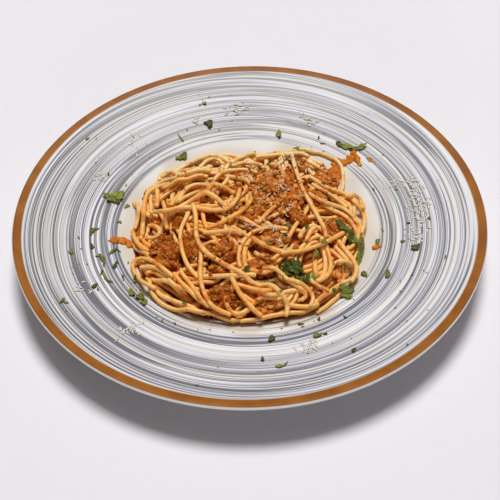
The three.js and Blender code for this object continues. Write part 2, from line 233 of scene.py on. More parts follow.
plateLook = dict(
    sectors=420, ringsFrom=72, ringRows=0.46, bandFrom=129.45, bandTo=134.45,
    plain=tone(228, 225, 220), glaze=tone(240, 235, 230), pearl=tone(236, 235, 240), slate=tone(72, 74, 88),
    creamy=tone(222, 206, 182), caramel=tone(140, 80, 12), caramelLight=tone(158, 96, 26),
    sharp=3.2, lineWidth=0.075, lines=1.2, fine=0.95, deepest=0.86, washFilm=0.02, streakFilm=0.4,
    spiral=(6.7, 6.6), wander=[(-0.1, 0.0, 0.0, -0.3), (-0.2, -0.5, -0.4, -0.2)],
    lipMiddle=(133.6, 24.2), lipRound=(1.4, 1.45), lipArc=(0.13, 0.95),
    underside=[
        (132.6, 22.5), (127, 20.9), (122, 19.3), (113, 16.0), (104, 12.9), (95, 10.7), (86, 8.8), (78, 7.1),
    ],
    footRing=[
        (75.8, 6.4), (75.2, 2.4), (74.8, 0.4), (74.2, 0), (69.8, 0), (69.2, 0.3), (68.8, 1.6), (68.2, 2.6),
        (66.5, 3), (30, 3),
    ],
)

# Brush strokes of the slate glaze: width, strength, first and last angle in degrees (counter-clockwise from
# the right), and the radii that the stroke passes at even angles between them
ringStrokes = [
    (0.8, 0.25, 172, 211, [127.9, 128.3, 128.7]),
    (1.6, 0.15, 84, 111, [128.6, 128.1, 128.1]),
    (1.6, 0.6, 201, 342, [120.2, 122.1, 123.7, 124.7, 125.3, 126.3, 127.6]),
    (1.9, 0.75, 115, 272, [123.7, 123.7, 124.0, 124.1, 126.1, 127.6, 129.0]),
    (1.6, 0.7, 270, 439, [120.8, 121.5, 122.0, 122.8, 123.1, 123.9, 125.1, 126.6]),
    (2.2, 0.35, 72, 152, [123.5, 124.1, 125.2, 125.8, 125.5]),
    (1.9, 0.42, 234, 286, [117.9, 118.7, 119.7, 120.2]),
    (1.0, 0.3, 301, 423, [120.1, 120.5, 121.0, 122.2, 123.4]),
    (1.6, 0.7, 213, 411, [112.8, 114.1, 115.6, 116.6, 116.6, 117.1, 117.6, 117.9]),
    (2.2, 0.6, 149, 239, [114.9, 115.4, 116.4, 117.6, 118.5, 118.6]),
    (1.9, 0.6, 211, 324, [109.2, 109.4, 111.4, 113.4, 113.8, 114.2]),
    (2.5, 0.75, 30, 123, [114.0, 114.6, 116.3, 118.6, 120.4]),
    (2.0, 0.65, 63, 191, [112.1, 114.2, 115.0, 115.7, 117.3, 118.3]),
    (1.1, 0.4, 109, 223, [110.1, 112.2, 113.0, 115.1, 116.7]),
    (2.2, 0.85, 297, 393, [111.1, 111.6, 112.0, 112.2, 111.9]),
    (1.4, 0.5, 166, 221, [110.1, 111.0, 111.6, 111.6]),
    (1.2, 0.35, 295, 368, [108.7, 109.0, 109.3, 109.9]),
    (1.0, 0.25, 32, 78, [108.5, 110.1, 110.3]),
    (2.6, 0.7, 233, 331, [104.4, 105.2, 106.1, 106.3, 106.9]),
    (1.5, 0.5, 331, 467, [104.8, 106.1, 106.4, 106.8, 107.4, 108.7]),
    (1.5, 0.5, 153, 227, [104.2, 105.3, 105.6, 105.3]),
    (1.7, 0.55, 100, 171, [103.6, 104.5, 105.8, 106.4]),
    (1.8, 0.45, 245, 416, [100.3, 101.0, 102.3, 103.2, 103.6, 103.9, 104.5]),
    (2.6, 0.42, 200, 262, [100.2, 100.9, 101.5, 102.2]),
    (2.0, 0.7, 50, 240, [100.4, 99.9, 100.1, 100.8, 101.5, 102.3, 102.8]),
    (1.6, 0.45, 270, 420, [96.2, 98.0, 99.0, 99.2, 100.7, 101.8]),
    (1.4, 0.5, 153, 234, [97.0, 96.9, 95.6, 95.9]),
    (1.4, 0.2, 105, 165, [93.5, 94.9, 95.4]),
    (1.8, 0.55, 345, 413, [94.2, 94.4, 94.8, 95.8]),
    (1.0, 0.2, 222, 278, [94.0, 94.4, 95.3]),
    (1.6, 0.5, 195, 375, [93.4, 92.5, 93.0, 93.4, 93.9, 95.6, 96.3]),
    (1.6, 0.25, 112, 187, [91.6, 92.4, 93.7, 94.2]),
    (1.3, 0.35, 153, 204, [91.8, 92.4, 92.0]),
    (2.5, 0.4, 20, 104, [90.2, 90.8, 91.1, 91.4, 91.9]),
    (1.2, 0.3, 318, 390, [89.9, 90.8, 91.0, 91.2]),
    (1.2, 0.15, 115, 157, [88.3, 89.7, 89.8]),
    (2.2, 0.75, 296, 380, [87.9, 88.1, 88.4, 88.8]),
    (1.9, 0.7, 165, 296, [85.8, 86.4, 87.7, 87.2, 87.6, 88.1]),
    (2.4, 0.9, 43, 168, [84.4, 84.0, 85.1, 85.8, 86.1]),
    (1.7, 0.75, 189, 342, [83.4, 83.5, 84.2, 84.8, 85.6, 86.1]),
    (1.1, 0.15, 345, 394, [82.0, 82.5, 83.2]),
    (1.1, 0.15, 106, 164, [81.0, 82.2, 81.9]),
    (1.1, 0.2, 165, 214, [82.0, 80.9, 80.2]),
    (1.2, 0.2, 47, 80, [81.6, 80.7, 82.0]),
    (1.2, 0.15, 245, 304, [79.4, 80.2, 81.9]),
    (1.7, 0.4, 316, 400, [78.7, 79.1, 79.7, 79.6, 80.0]),
    (2.5, 0.6, 345, 392, [75.5, 76.5, 76.6, 77.4]),
    (2.1, 0.7, 66, 214, [75.8, 77.0, 77.9, 78.4, 77.5, 76.4]),
    (2.2, 0.45, 284, 317, [76.8, 77.0, 77.3]),
    (2.0, 0.4, 235, 345, [76.6, 75.2, 74.3, 74.9, 75.4]),
]


# How thickly the slate glaze lies at a radius and an angle, as fine lines and as the thin wash round them. A
# line is exp(-(sharp off / width)^2), a wash is wider and lies to one side; films cover each other as 1 - (1
# - a)(1 - b)
def slateGlaze(r, turn):
    lineClear, washClear = np.ones(r.shape), np.ones(r.shape)
    degrees = np.degrees(turn)
    for k, (width, strength, start, end, radii) in enumerate(ringStrokes):
        values = np.array([2 * radii[0] - radii[1], *radii, 2 * radii[-1] - radii[-2]], float)
        for lap in (0, 360):
            along = degrees + lap
            s = np.clip((along - start) / (end - start), 0, 0.99999)
            centre = throughValues(lambda i: values[np.clip(i + 1, 0, len(values) - 1)], s * (len(radii) - 1))
            off = r - centre - 0.08 * np.sin(along / 6.1 + k)
            fade = smooth(start - 10, start + 6, along) * smooth(end + 10, end - 6, along)
            patchy = 0.9 + 0.14 * np.sin(along / 13.0 + 3 * k)
            line = strength * np.exp(-((plateLook["sharp"] * off / max(0.85 * width, 1.0)) ** 2))
            aside = off + 0.7 * math.sin(2.4 * k) * width
            wash = min(1.0, 1.3 * strength) * np.exp(-((aside / (0.9 * width + 0.5)) ** 4))
            lineClear = lineClear * (1 - np.clip(fade * patchy * line, 0, 0.95))
            washClear = washClear * (1 - np.clip(fade * wash, 0, 0.95))
    return 1 - lineClear, 1 - washClear


# The brush wandered as the plate turned, and spiralled outwards: radius less that drift, so that the value
# stays the same along a stroke. The drift is a sum of waves round the plate and a part that grows with the
# turn
def strokeRadius(r, turn):
    u = (r - 100) / 30
    drift = (plateLook["spiral"][0] + plateLook["spiral"][1] * u) * turn / (2 * np.pi)
    for power, (a, b, c, d) in enumerate(plateLook["wander"]):
        swing = a * np.cos(turn) + b * np.sin(turn) + c * np.cos(2 * turn) + d * np.sin(2 * turn)
        drift = drift + u**power * swing
    return r - drift


# Noise that runs along the strokes: it changes fast across them and slowly round the plate. The stroke radius
# jumps by the spiral's pitch where a turn ends, so two of them with the jump on opposite sides are blended
def strokeNoise(tree, across, along, turn, detail=1.0, shift=0.0):
    flat = addNode(tree, "ShaderNodeVectorMath", {0: turn, "Scale": along}, operation="SCALE").outputs[0]
    noises = []
    for label in ("strokeLeft", "strokeRight"):
        height = calculate(tree, "MULTIPLY_ADD", attribute(tree, label), across, shift)
        inputs = {0: partOf(tree, flat, 0), 1: partOf(tree, flat, 1), 2: height}
        place = addNode(tree, "ShaderNodeCombineXYZ", inputs).outputs[0]
        noises.append(speckle(tree, place, 1.0, detail))
    leftwards = between(tree, partOf(tree, turn, 0), 0.45, -0.45)
    return addNode(tree, "ShaderNodeMix", {0: leftwards, 2: noises[1], 3: noises[0]}).outputs[0]


# Thin lines where a noise passes through the middle of its range
def contour(tree, noise, width):
    off = calculate(tree, "ABSOLUTE", calculate(tree, "SUBTRACT", noise, 0.5))
    return between(tree, off, width, 0.2 * width)


def makePlateMaterial():
    material, tree, shader = newMaterial("brushedGlaze")
    look = plateLook
    place = objectPlace(tree)
    flat = addNode(tree, "ShaderNodeVectorMath", {0: place, 1: (1, 1, 0)}, operation="MULTIPLY").outputs[0]
    reach = addNode(tree, "ShaderNodeVectorMath", {0: flat}, operation="LENGTH").outputs["Value"]
    turn = addNode(tree, "ShaderNodeVectorMath", {0: flat}, operation="NORMALIZE").outputs[0]
    radius = calculate(tree, "MULTIPLY", reach, 1000.0)
    pastWell, beforeBand = between(tree, radius, 75.5, 77.5), between(tree, radius, 130.0, 128.5)
    inside = calculate(tree, "MULTIPLY", pastWell, beforeBand)
    patches = between(tree, strokeNoise(tree, 0.2, 0.35, turn, 1.0, 17), 0.5, 0.62)
    wash = calculate(tree, "MAXIMUM", attribute(tree, "wash"), calculate(tree, "MULTIPLY", patches, 0.7))
    streaks = between(tree, strokeNoise(tree, 1.5, 0.4, turn, 2.0, 55), 0.4, 0.66)
    streaks = calculate(tree, "MULTIPLY_ADD", streaks, look["streakFilm"], look["washFilm"])
    lines = contour(tree, strokeNoise(tree, 0.62, 0.3, turn, 0.0, 90), look["lineWidth"])
    fine = contour(tree, strokeNoise(tree, 1.9, 0.4, turn, 0.0, 30), look["lineWidth"] * 1.6)
    come = between(tree, strokeNoise(tree, 0.3, 0.6, turn, 1.0, 71), 0.3, 0.56)
    fine = calculate(tree, "MULTIPLY", fine, look["fine"])
    film = calculate(tree, "MULTIPLY_ADD", lines, look["lines"], fine)
    film = calculate(tree, "MULTIPLY_ADD", wash, streaks, calculate(tree, "MULTIPLY", film, come))
    film = calculate(tree, "MULTIPLY", film, inside)
    brushed = between(tree, strokeNoise(tree, 1.4, 0.4, turn, 1.0, 40), 0.4, 0.58)
    brushed = calculate(tree, "MULTIPLY_ADD", brushed, 0.8, 0.22)
    slate = calculate(tree, "MULTIPLY_ADD", attribute(tree, "slate"), brushed, film, clamp=True)
    # The slate is weakened towards the far side, so the far rim comes out lighter
    far = between(tree, partOf(tree, turn, 1), 0.1, 1.0)
    slate = calculate(tree, "MULTIPLY", slate, calculate(tree, "MULTIPLY_ADD", far, -0.34, 0.97))
    slate = calculate(tree, "MINIMUM", slate, look["deepest"])
    cool = between(tree, strokeNoise(tree, 0.45, 0.4, turn, 1.0, 8), 0.4, 0.6)
    glaze = blendColours(tree, cool, look["glaze"], look["pearl"])
    glaze = blendColours(tree, inside, look["plain"], glaze)
    colour = blendColours(tree, slate, glaze, look["slate"])
    colour = blendColours(tree, attribute(tree, "creamy"), colour, look["creamy"], "MULTIPLY")
    inner = between(tree, radius, look["bandFrom"] - 0.5, look["bandFrom"] + 0.6)
    outer = between(tree, radius, look["bandTo"] + 0.3, look["bandTo"] - 0.2)
    upper = between(tree, partOf(tree, place, 2), 0.0234, 0.0242)
    band = calculate(tree, "MULTIPLY", calculate(tree, "MULTIPLY", inner, outer), upper)
    mottled = between(tree, speckle(tree, place, 60.0, 3.0), 0.35, 0.68)
    caramel = blendColours(tree, mottled, look["caramel"], look["caramelLight"])
    tree.links.new(blendColours(tree, band, colour, caramel), shader.inputs["Base Color"])
    setShader(shader, Roughness=0.5, Specular_IOR_Level=0.2)
    tree.links.new(bump(tree, speckle(tree, place, 25.0, 1.0), 0.06, 0.0006), shader.inputs["Normal"])
    return material


# The plate is one profile turned round the upright axis: rows of the grid follow the profile, columns go
# round. The rows lie closest together where the strokes are
def makePlate():
    look = plateLook
    well = np.linspace(2, look["ringsFrom"], 24)
    upper = np.concatenate([well, np.arange(look["ringsFrom"] + 0.5, 133.8, look["ringRows"])])
    angle = np.linspace(*look["lipArc"], 12) * np.pi
    lipR = look["lipMiddle"][0] + look["lipRound"][0] * np.sin(angle)
    lipZ = look["lipMiddle"][1] + look["lipRound"][1] * np.cos(angle)
    under, foot = np.array(look["underside"]), np.array(look["footRing"])
    k = np.linspace(0, len(under) - 1, 20)
    lower = np.stack([np.interp(k, np.arange(len(under)), under[:, c]) for c in (0, 1)], -1)
    smoothed = lower.copy()
    for _ in range(4):
        smoothed[1:-1] = (smoothed[:-2] + 2 * smoothed[1:-1] + smoothed[2:]) / 4
    r = np.concatenate([upper, lipR, smoothed[:, 0], foot[:, 0]])
    z = np.concatenate([plateTop(upper), lipZ, smoothed[:, 1], foot[:, 1]])
    count = look["sectors"]
    turn = np.linspace(0, 2 * np.pi, count, endpoint=False)
    gridR, gridTurn = np.meshgrid(r, turn, indexing="ij")
    x, y = gridR * np.cos(gridTurn), gridR * np.sin(gridTurn)
    points = np.stack([x, y, np.repeat(z[:, None], count, 1)], -1).reshape(-1, 3)
    points = np.concatenate([points, [(0, 0, plateForm["wellFloor"]), (0, 0, foot[-1, 1])]])
    quads, fans = ringFaces(len(r), count)
    slate, wash = np.zeros(gridR.shape), np.zeros(gridR.shape)
    rows = slice(0, len(upper))
    slate[rows], wash[rows] = slateGlaze(gridR[rows], gridTurn[rows])
    near = share(x, y) + 0.05 * waves(x, y, 25, 7)
    creamy = 0.55 * smooth(1.16, 0.98, near)
    creamy[len(upper):] = 0
    late = np.where(gridTurn < np.pi, gridTurn + 2 * np.pi, gridTurn)
    values = {"slate": slate, "wash": wash, "creamy": creamy}
    values |= {"strokeLeft": strokeRadius(gridR, gridTurn), "strokeRight": strokeRadius(gridR, late)}
    values = {label: np.append(data, [0, 0]) for label, data in values.items()}
    addPiece("plateBody", points, quads, fans, makePlateMaterial(), ["plate"], values)


makePlate()

# Heights of what lies on the plate so far, on a square grid
cell, half = 0.5, 130.0
side = int(2 * half / cell) + 1
gridX, gridY = np.meshgrid(np.linspace(-half, half, side), np.linspace(-half, half, side))
heights = plateTop(np.hypot(gridX, gridY))


def gridIndex(x, y):
    return tuple(np.rint((np.asarray(v) + half) / cell).astype(int) for v in (y, x))


# Grid offsets under a ball, with how far its surface stands above its middle there
def footprint(radius):
    reach = int(radius / cell)
    oy, ox = np.mgrid[-reach : reach + 1, -reach : reach + 1]
    far = np.hypot(ox, oy) * cell
    kept = far < radius
    return oy[kept], ox[kept], np.sqrt(radius**2 - far[kept] ** 2)


# The highest of what lies within a radius of a place
def heightUnder(x, y, radius):
    oy, ox, _ = footprint(max(radius, cell * 1.01))
    iy, ix = gridIndex(x, y)
    return (heights[iy[..., None] + oy, ix[..., None] + ox]).max(-1)


# Where the meat sauce lies: x, y, half width, half length, turn in degrees, and strength
saucePatches = [
    (16, 14, 15, 22, -12, 1.0), (-48, -28, 8, 13, 10, 1.0), (-33, -26, 5, 10, 8, 0.9),
    (-15, -33, 9, 8, 20, 1.0), (-18, -44, 6, 4, 0, 0.8), (-16, -61, 10, 8, 0, 1.0), (6, -42, 8, 6, 0, 0.95),
    (11, -27, 9, 5, -5, 1.0), (48, 34, 7, 14, 0, 1.0), (39, 11, 6, 7, 0, 0.8), (51, -10, 10, 7, 20, 0.8),
    (50, -42, 5, 5, 0, 0.7), (35, -57, 6, 4, 0, 0.7), (8, -65, 9, 4, 0, 0.8), (-23, 11, 5, 4, 0, 0.7),
    (-9, 14, 6, 6, 0, 0.7), (-40, -8, 4, 4, 0, 0.75), (-3, 32, 7, 6, 20, 0.5), (29, -8, 6, 5, 0, 0.7),
    (0, -6, 8, 5, 0, 0.6), (33, 42, 6, 6, 0, 0.6),
]


# How much sauce there is at a place: the strongest patch, fading out from its ragged outline
def sauceAt(x, y):
    ragged = 0.16 * waves(x, y, 9, 3) + 0.1 * waves(x, y, 4, 4)
    best = np.zeros(np.shape(x))
    for cx, cy, wide, long, turn, strength in saucePatches:
        a = math.radians(turn)
        u = ((x - cx) * math.cos(a) + (y - cy) * math.sin(a)) / wide
        v = (-(x - cx) * math.sin(a) + (y - cy) * math.cos(a)) / long
        best = np.maximum(best, strength * smooth(1.3, 0.7, np.hypot(u, v) + ragged))
    return best


# Minced meat in sauce; towards the front and the left it is darkened by painted shade, by as much as shaded
# says
def makeSauceMaterial(name, dark, middle, light, shaded):
    material, tree, shader = newMaterial(name)
    place = objectPlace(tree)
    colour = blendColours(tree, between(tree, speckle(tree, place, 420.0, 3.0), 0.3, 0.58), dark, middle)
    shade = calculate(tree, "MULTIPLY_ADD", speckle(tree, place, 900.0, 2.0), 0.5, attribute(tree, "tint"))
    colour = blendColours(tree, between(tree, shade, 0.55, 1.2), colour, light)
    # Painted shade: the front left of the mound is multiplied by a dull yellow tone
    frontLeftPaintedShade = calculate(tree, "ADD", partOf(tree, place, 0), partOf(tree, place, 1))
    frontLeftPaintedShade = between(tree, frontLeftPaintedShade, -0.022, -0.045)
    frontLeftPaintedShade = calculate(tree, "MULTIPLY", frontLeftPaintedShade, shaded)
    colour = blendColours(tree, frontLeftPaintedShade, colour, tone(228, 208, 124), "MULTIPLY")
    tree.links.new(colour, shader.inputs["Base Color"])
    tree.links.new(oiled(tree, 500.0, 0.6, 0.3), shader.inputs["Roughness"])
    setShader(shader, Specular_IOR_Level=0.2, Subsurface_Weight=0.35, Subsurface_Scale=0.002)
    setShader(shader, Subsurface_Radius=(1.0, 0.5, 0.15))
    tree.links.new(bump(tree, speckle(tree, place, 800.0, 4.0), 0.5, 0.0007), shader.inputs["Normal"])
    return material


# The dark, middle and light tones of each sauce
meatTones = tone(146, 68, 4), tone(194, 104, 18), tone(236, 168, 92)
bedTones = tone(152, 74, 6), tone(196, 106, 18), tone(232, 156, 72)
# The last number is how strong the painted shade on the front left is
meatMaterial = makeSauceMaterial("mincedMeatSauce", *meatTones, 0.9)
bedMaterial = makeSauceMaterial("sauceBed", *bedTones, 0.6)

# The bed under the strands: a low dome of sauce that stays below them by depth
bed = dict(depth=10.5, reach=0.95, rings=60, sectors=180, underRings=10)


def bedTop(x, y):
    rim = smooth(bed["reach"] + 0.02, bed["reach"] - 0.3, share(x, y))
    low = plateTop(np.hypot(x, y))
    lumps = 0.6 * waves(x, y, 8, 21) + 0.4 * waves(x, y, 3.5, 22)
    return low + 0.3 + rim * np.clip(heapTop(x, y) - bed["depth"] - low + lumps, 0, None)


# Rows of the grid go out from the middle and back below, just above the plate; columns go round
def makeBed():
    turn = np.linspace(0, 2 * np.pi, bed["sectors"], endpoint=False)
    edge = 60 / share(60 * np.cos(turn), heapForm["y"] + 60 * np.sin(turn))
    out = np.linspace(0.01, bed["reach"], bed["rings"])
    s = np.concatenate([out, np.linspace(bed["reach"] - 0.004, 0.02, bed["underRings"])])[:, None]
    x, y = s * edge * np.cos(turn), s * edge * np.sin(turn) + heapForm["y"]
    z = np.where(np.arange(len(s))[:, None] < bed["rings"], bedTop(x, y), plateTop(np.hypot(x, y)) + 0.06)
    points = np.stack([x, y, z], -1).reshape(-1, 3)
    points = np.concatenate([points, [(0, heapForm["y"], z[0].mean()), (0, heapForm["y"], z[-1].mean())]])
    quads, fans = ringFaces(len(s), bed["sectors"])
    tint = 0.3 + 0.15 * waves(points[:, 0], points[:, 1], 6, 23)
    addPiece("sauceBed", points, quads, fans, bedMaterial, (), {"tint": tint})


makeBed()
inside = share(gridX, gridY) < bed["reach"]
heights[inside] = np.maximum(heights[inside], bedTop(gridX[inside], gridY[inside]))

strandLook = dict(
    radius=1.28, spread=0.1, squash=0.12, samples=1.0, passes=70,
    bundles=900, bundleLength=(40, 130), apart=2.75, clearance=2.3, patchClearance=3.4,
    steps=150, startWithin=64, bend=0.03, bendDrift=0.009, bendMost=0.09, lookAhead=9, turnInwards=0.16,
    golden=tone(252, 182, 90), pale=tone(250, 200, 124), brown=tone(242, 152, 60), stain=tone(214, 118, 28),
    paleBackTone=tone(255, 226, 168),
)


# Smooth curve through the points by Catmull-Rom, then cut into even steps
def evenRoute(points, step):
    p = np.asarray(points, float)
    p = np.concatenate([[2 * p[0] - p[1]], p, [2 * p[-1] - p[-2]]])
    t = np.linspace(0, len(p) - 3.00001, 16 * (len(p) - 3) + 1)
    curve = [throughValues(lambda i: p[np.clip(i + 1, 0, len(p) - 1), c], t) for c in range(p.shape[1])]
    curve = np.stack(curve, -1)
    far = np.concatenate([[0], np.cumsum(np.hypot(*np.diff(curve[:, :2], axis=0).T))])
    even = np.linspace(0, far[-1], max(5, int(round(far[-1] / step)) + 1))
    return np.stack([np.interp(even, far, curve[:, k]) for k in range(curve.shape[1])], -1)


# Heights of a strand that is laid down: it rests on what is under it, and is too stiff for sharp dips. Where
# it crosses itself, the later part lies on the earlier one
def restHeights(route, radius, dip):
    oy, ox, back = footprint(radius)
    iy, ix = gridIndex(route[:, 0], route[:, 1])
    rest = (heights[iy[:, None] + oy, ix[:, None] + ox] + back).max(1)
    count = len(route)
    far = np.arange(count) * strandLook["samples"]
    rest = rest - dip * smooth(7, 0, np.minimum(far, far[::-1]))
    rest = np.maximum(rest, plateTop(np.hypot(route[:, 0], route[:, 1])) + radius)
    apart = np.hypot(route[:, None, 0] - route[None, :, 0], route[:, None, 1] - route[None, :, 1])
    later = np.arange(count)[:, None] - np.arange(count)[None, :] > 7
    crossing = later & (apart < 2 * radius)
    over = np.where(crossing, np.sqrt(np.clip(4 * radius**2 - apart**2, 0, None)), -1e3)
    z = rest.copy()
    for _ in range(strandLook["passes"]):
        if crossing.any():
            rest = np.maximum(rest, (z[None, :] + over).max(1))
        z = np.maximum(rest, (np.r_[z[0], z[:-1]] + 2 * z + np.r_[z[1:], z[-1]]) / 4)
    return z


def stampStrand(route, z, radius):
    oy, ox, back = footprint(radius)
    iy, ix = gridIndex(route[:, 0], route[:, 1])
    np.maximum.at(heights, (iy[:, None] + oy, ix[:, None] + ox), z[:, None] + back - strandLook["squash"])


# Winding routes for the strands inside: each step turns by a bend that drifts, and turns inwards near the
# outline
def windingRoutes(count, seed):
    look = strandLook
    draw = np.random.default_rng(seed)
    angle, far = draw.uniform(0, 2 * np.pi, count), np.sqrt(draw.uniform(0, 1, count)) * look["startWithin"]
    place = np.stack([far * np.cos(angle), far * np.sin(angle) + heapForm["y"]], -1)
    heading, bend = draw.uniform(0, 2 * np.pi, count), draw.normal(0, look["bend"], count)
    trail = [place]
    for _ in range(look["steps"]):
        bend = bend + draw.normal(0, look["bendDrift"], count)
        bend = np.clip(bend, -look["bendMost"], look["bendMost"]) * 0.995
        reach = look["lookAhead"]
        ahead = share(place[:, 0] + reach * np.cos(heading), place[:, 1] + reach * np.sin(heading))
        inward = np.arctan2(heapForm["y"] - place[:, 1], -place[:, 0])
        turn = look["turnInwards"] * np.sign(np.sin(inward - heading)) * smooth(0.84, 1.0, ahead)
        heading = heading + turn + bend
        place = place + np.stack([np.cos(heading), np.sin(heading)], -1)
        trail.append(place)
    lengths = draw.uniform(*look["bundleLength"], count).astype(int)
    trail = np.stack(trail, 1)
    return [trail[k, : lengths[k]] for k in range(count)]


# A bundle is one to four strands side by side that drift apart a little
def bundleRoutes(route, draw):
    ahead = np.gradient(route, axis=0)
    across = np.stack([-ahead[:, 1], ahead[:, 0]], -1)
    along = np.linspace(0, 1, len(route))[:, None]
    for k in range(draw.integers(1, 5)):
        drift = k * strandLook["apart"] * (1 + draw.uniform(-0.05, 0.35) * along**2) + draw.uniform(0, 0.4)
        first, last = draw.integers(0, 8), len(route) - draw.integers(0, 12)
        yield (route + across * drift)[first:last]


strands = []  # each is (points along the axis, radius, whether it shows on top)


def laySupport():
    laid = 0
    look = strandLook
    draw = np.random.default_rng(6)
    for base in windingRoutes(look["bundles"], 5):
        for route in bundleRoutes(base, draw):
            if (share(route[:, 0], route[:, 1]) > 0.98).any():
                continue
            radius = look["radius"] * (1 + look["spread"] * draw.uniform(-1, 1))
            z = restHeights(route, radius, 1.2)
            sauce = sauceAt(route[:, 0], route[:, 1])
            extra = look["patchClearance"] - look["clearance"]
            ceiling = heapTop(route[:, 0], route[:, 1]) - look["clearance"] - extra * sauce
            low = plateTop(np.hypot(route[:, 0], route[:, 1])) + 2.3 * radius
            if np.percentile(z + radius - np.maximum(ceiling, low), 75) > 0:
                continue
            stampStrand(route, z, radius)
            strands.append((np.column_stack([route, z]), radius, False))
            laid += 1
    print("strands laid inside:", laid)


laySupport()

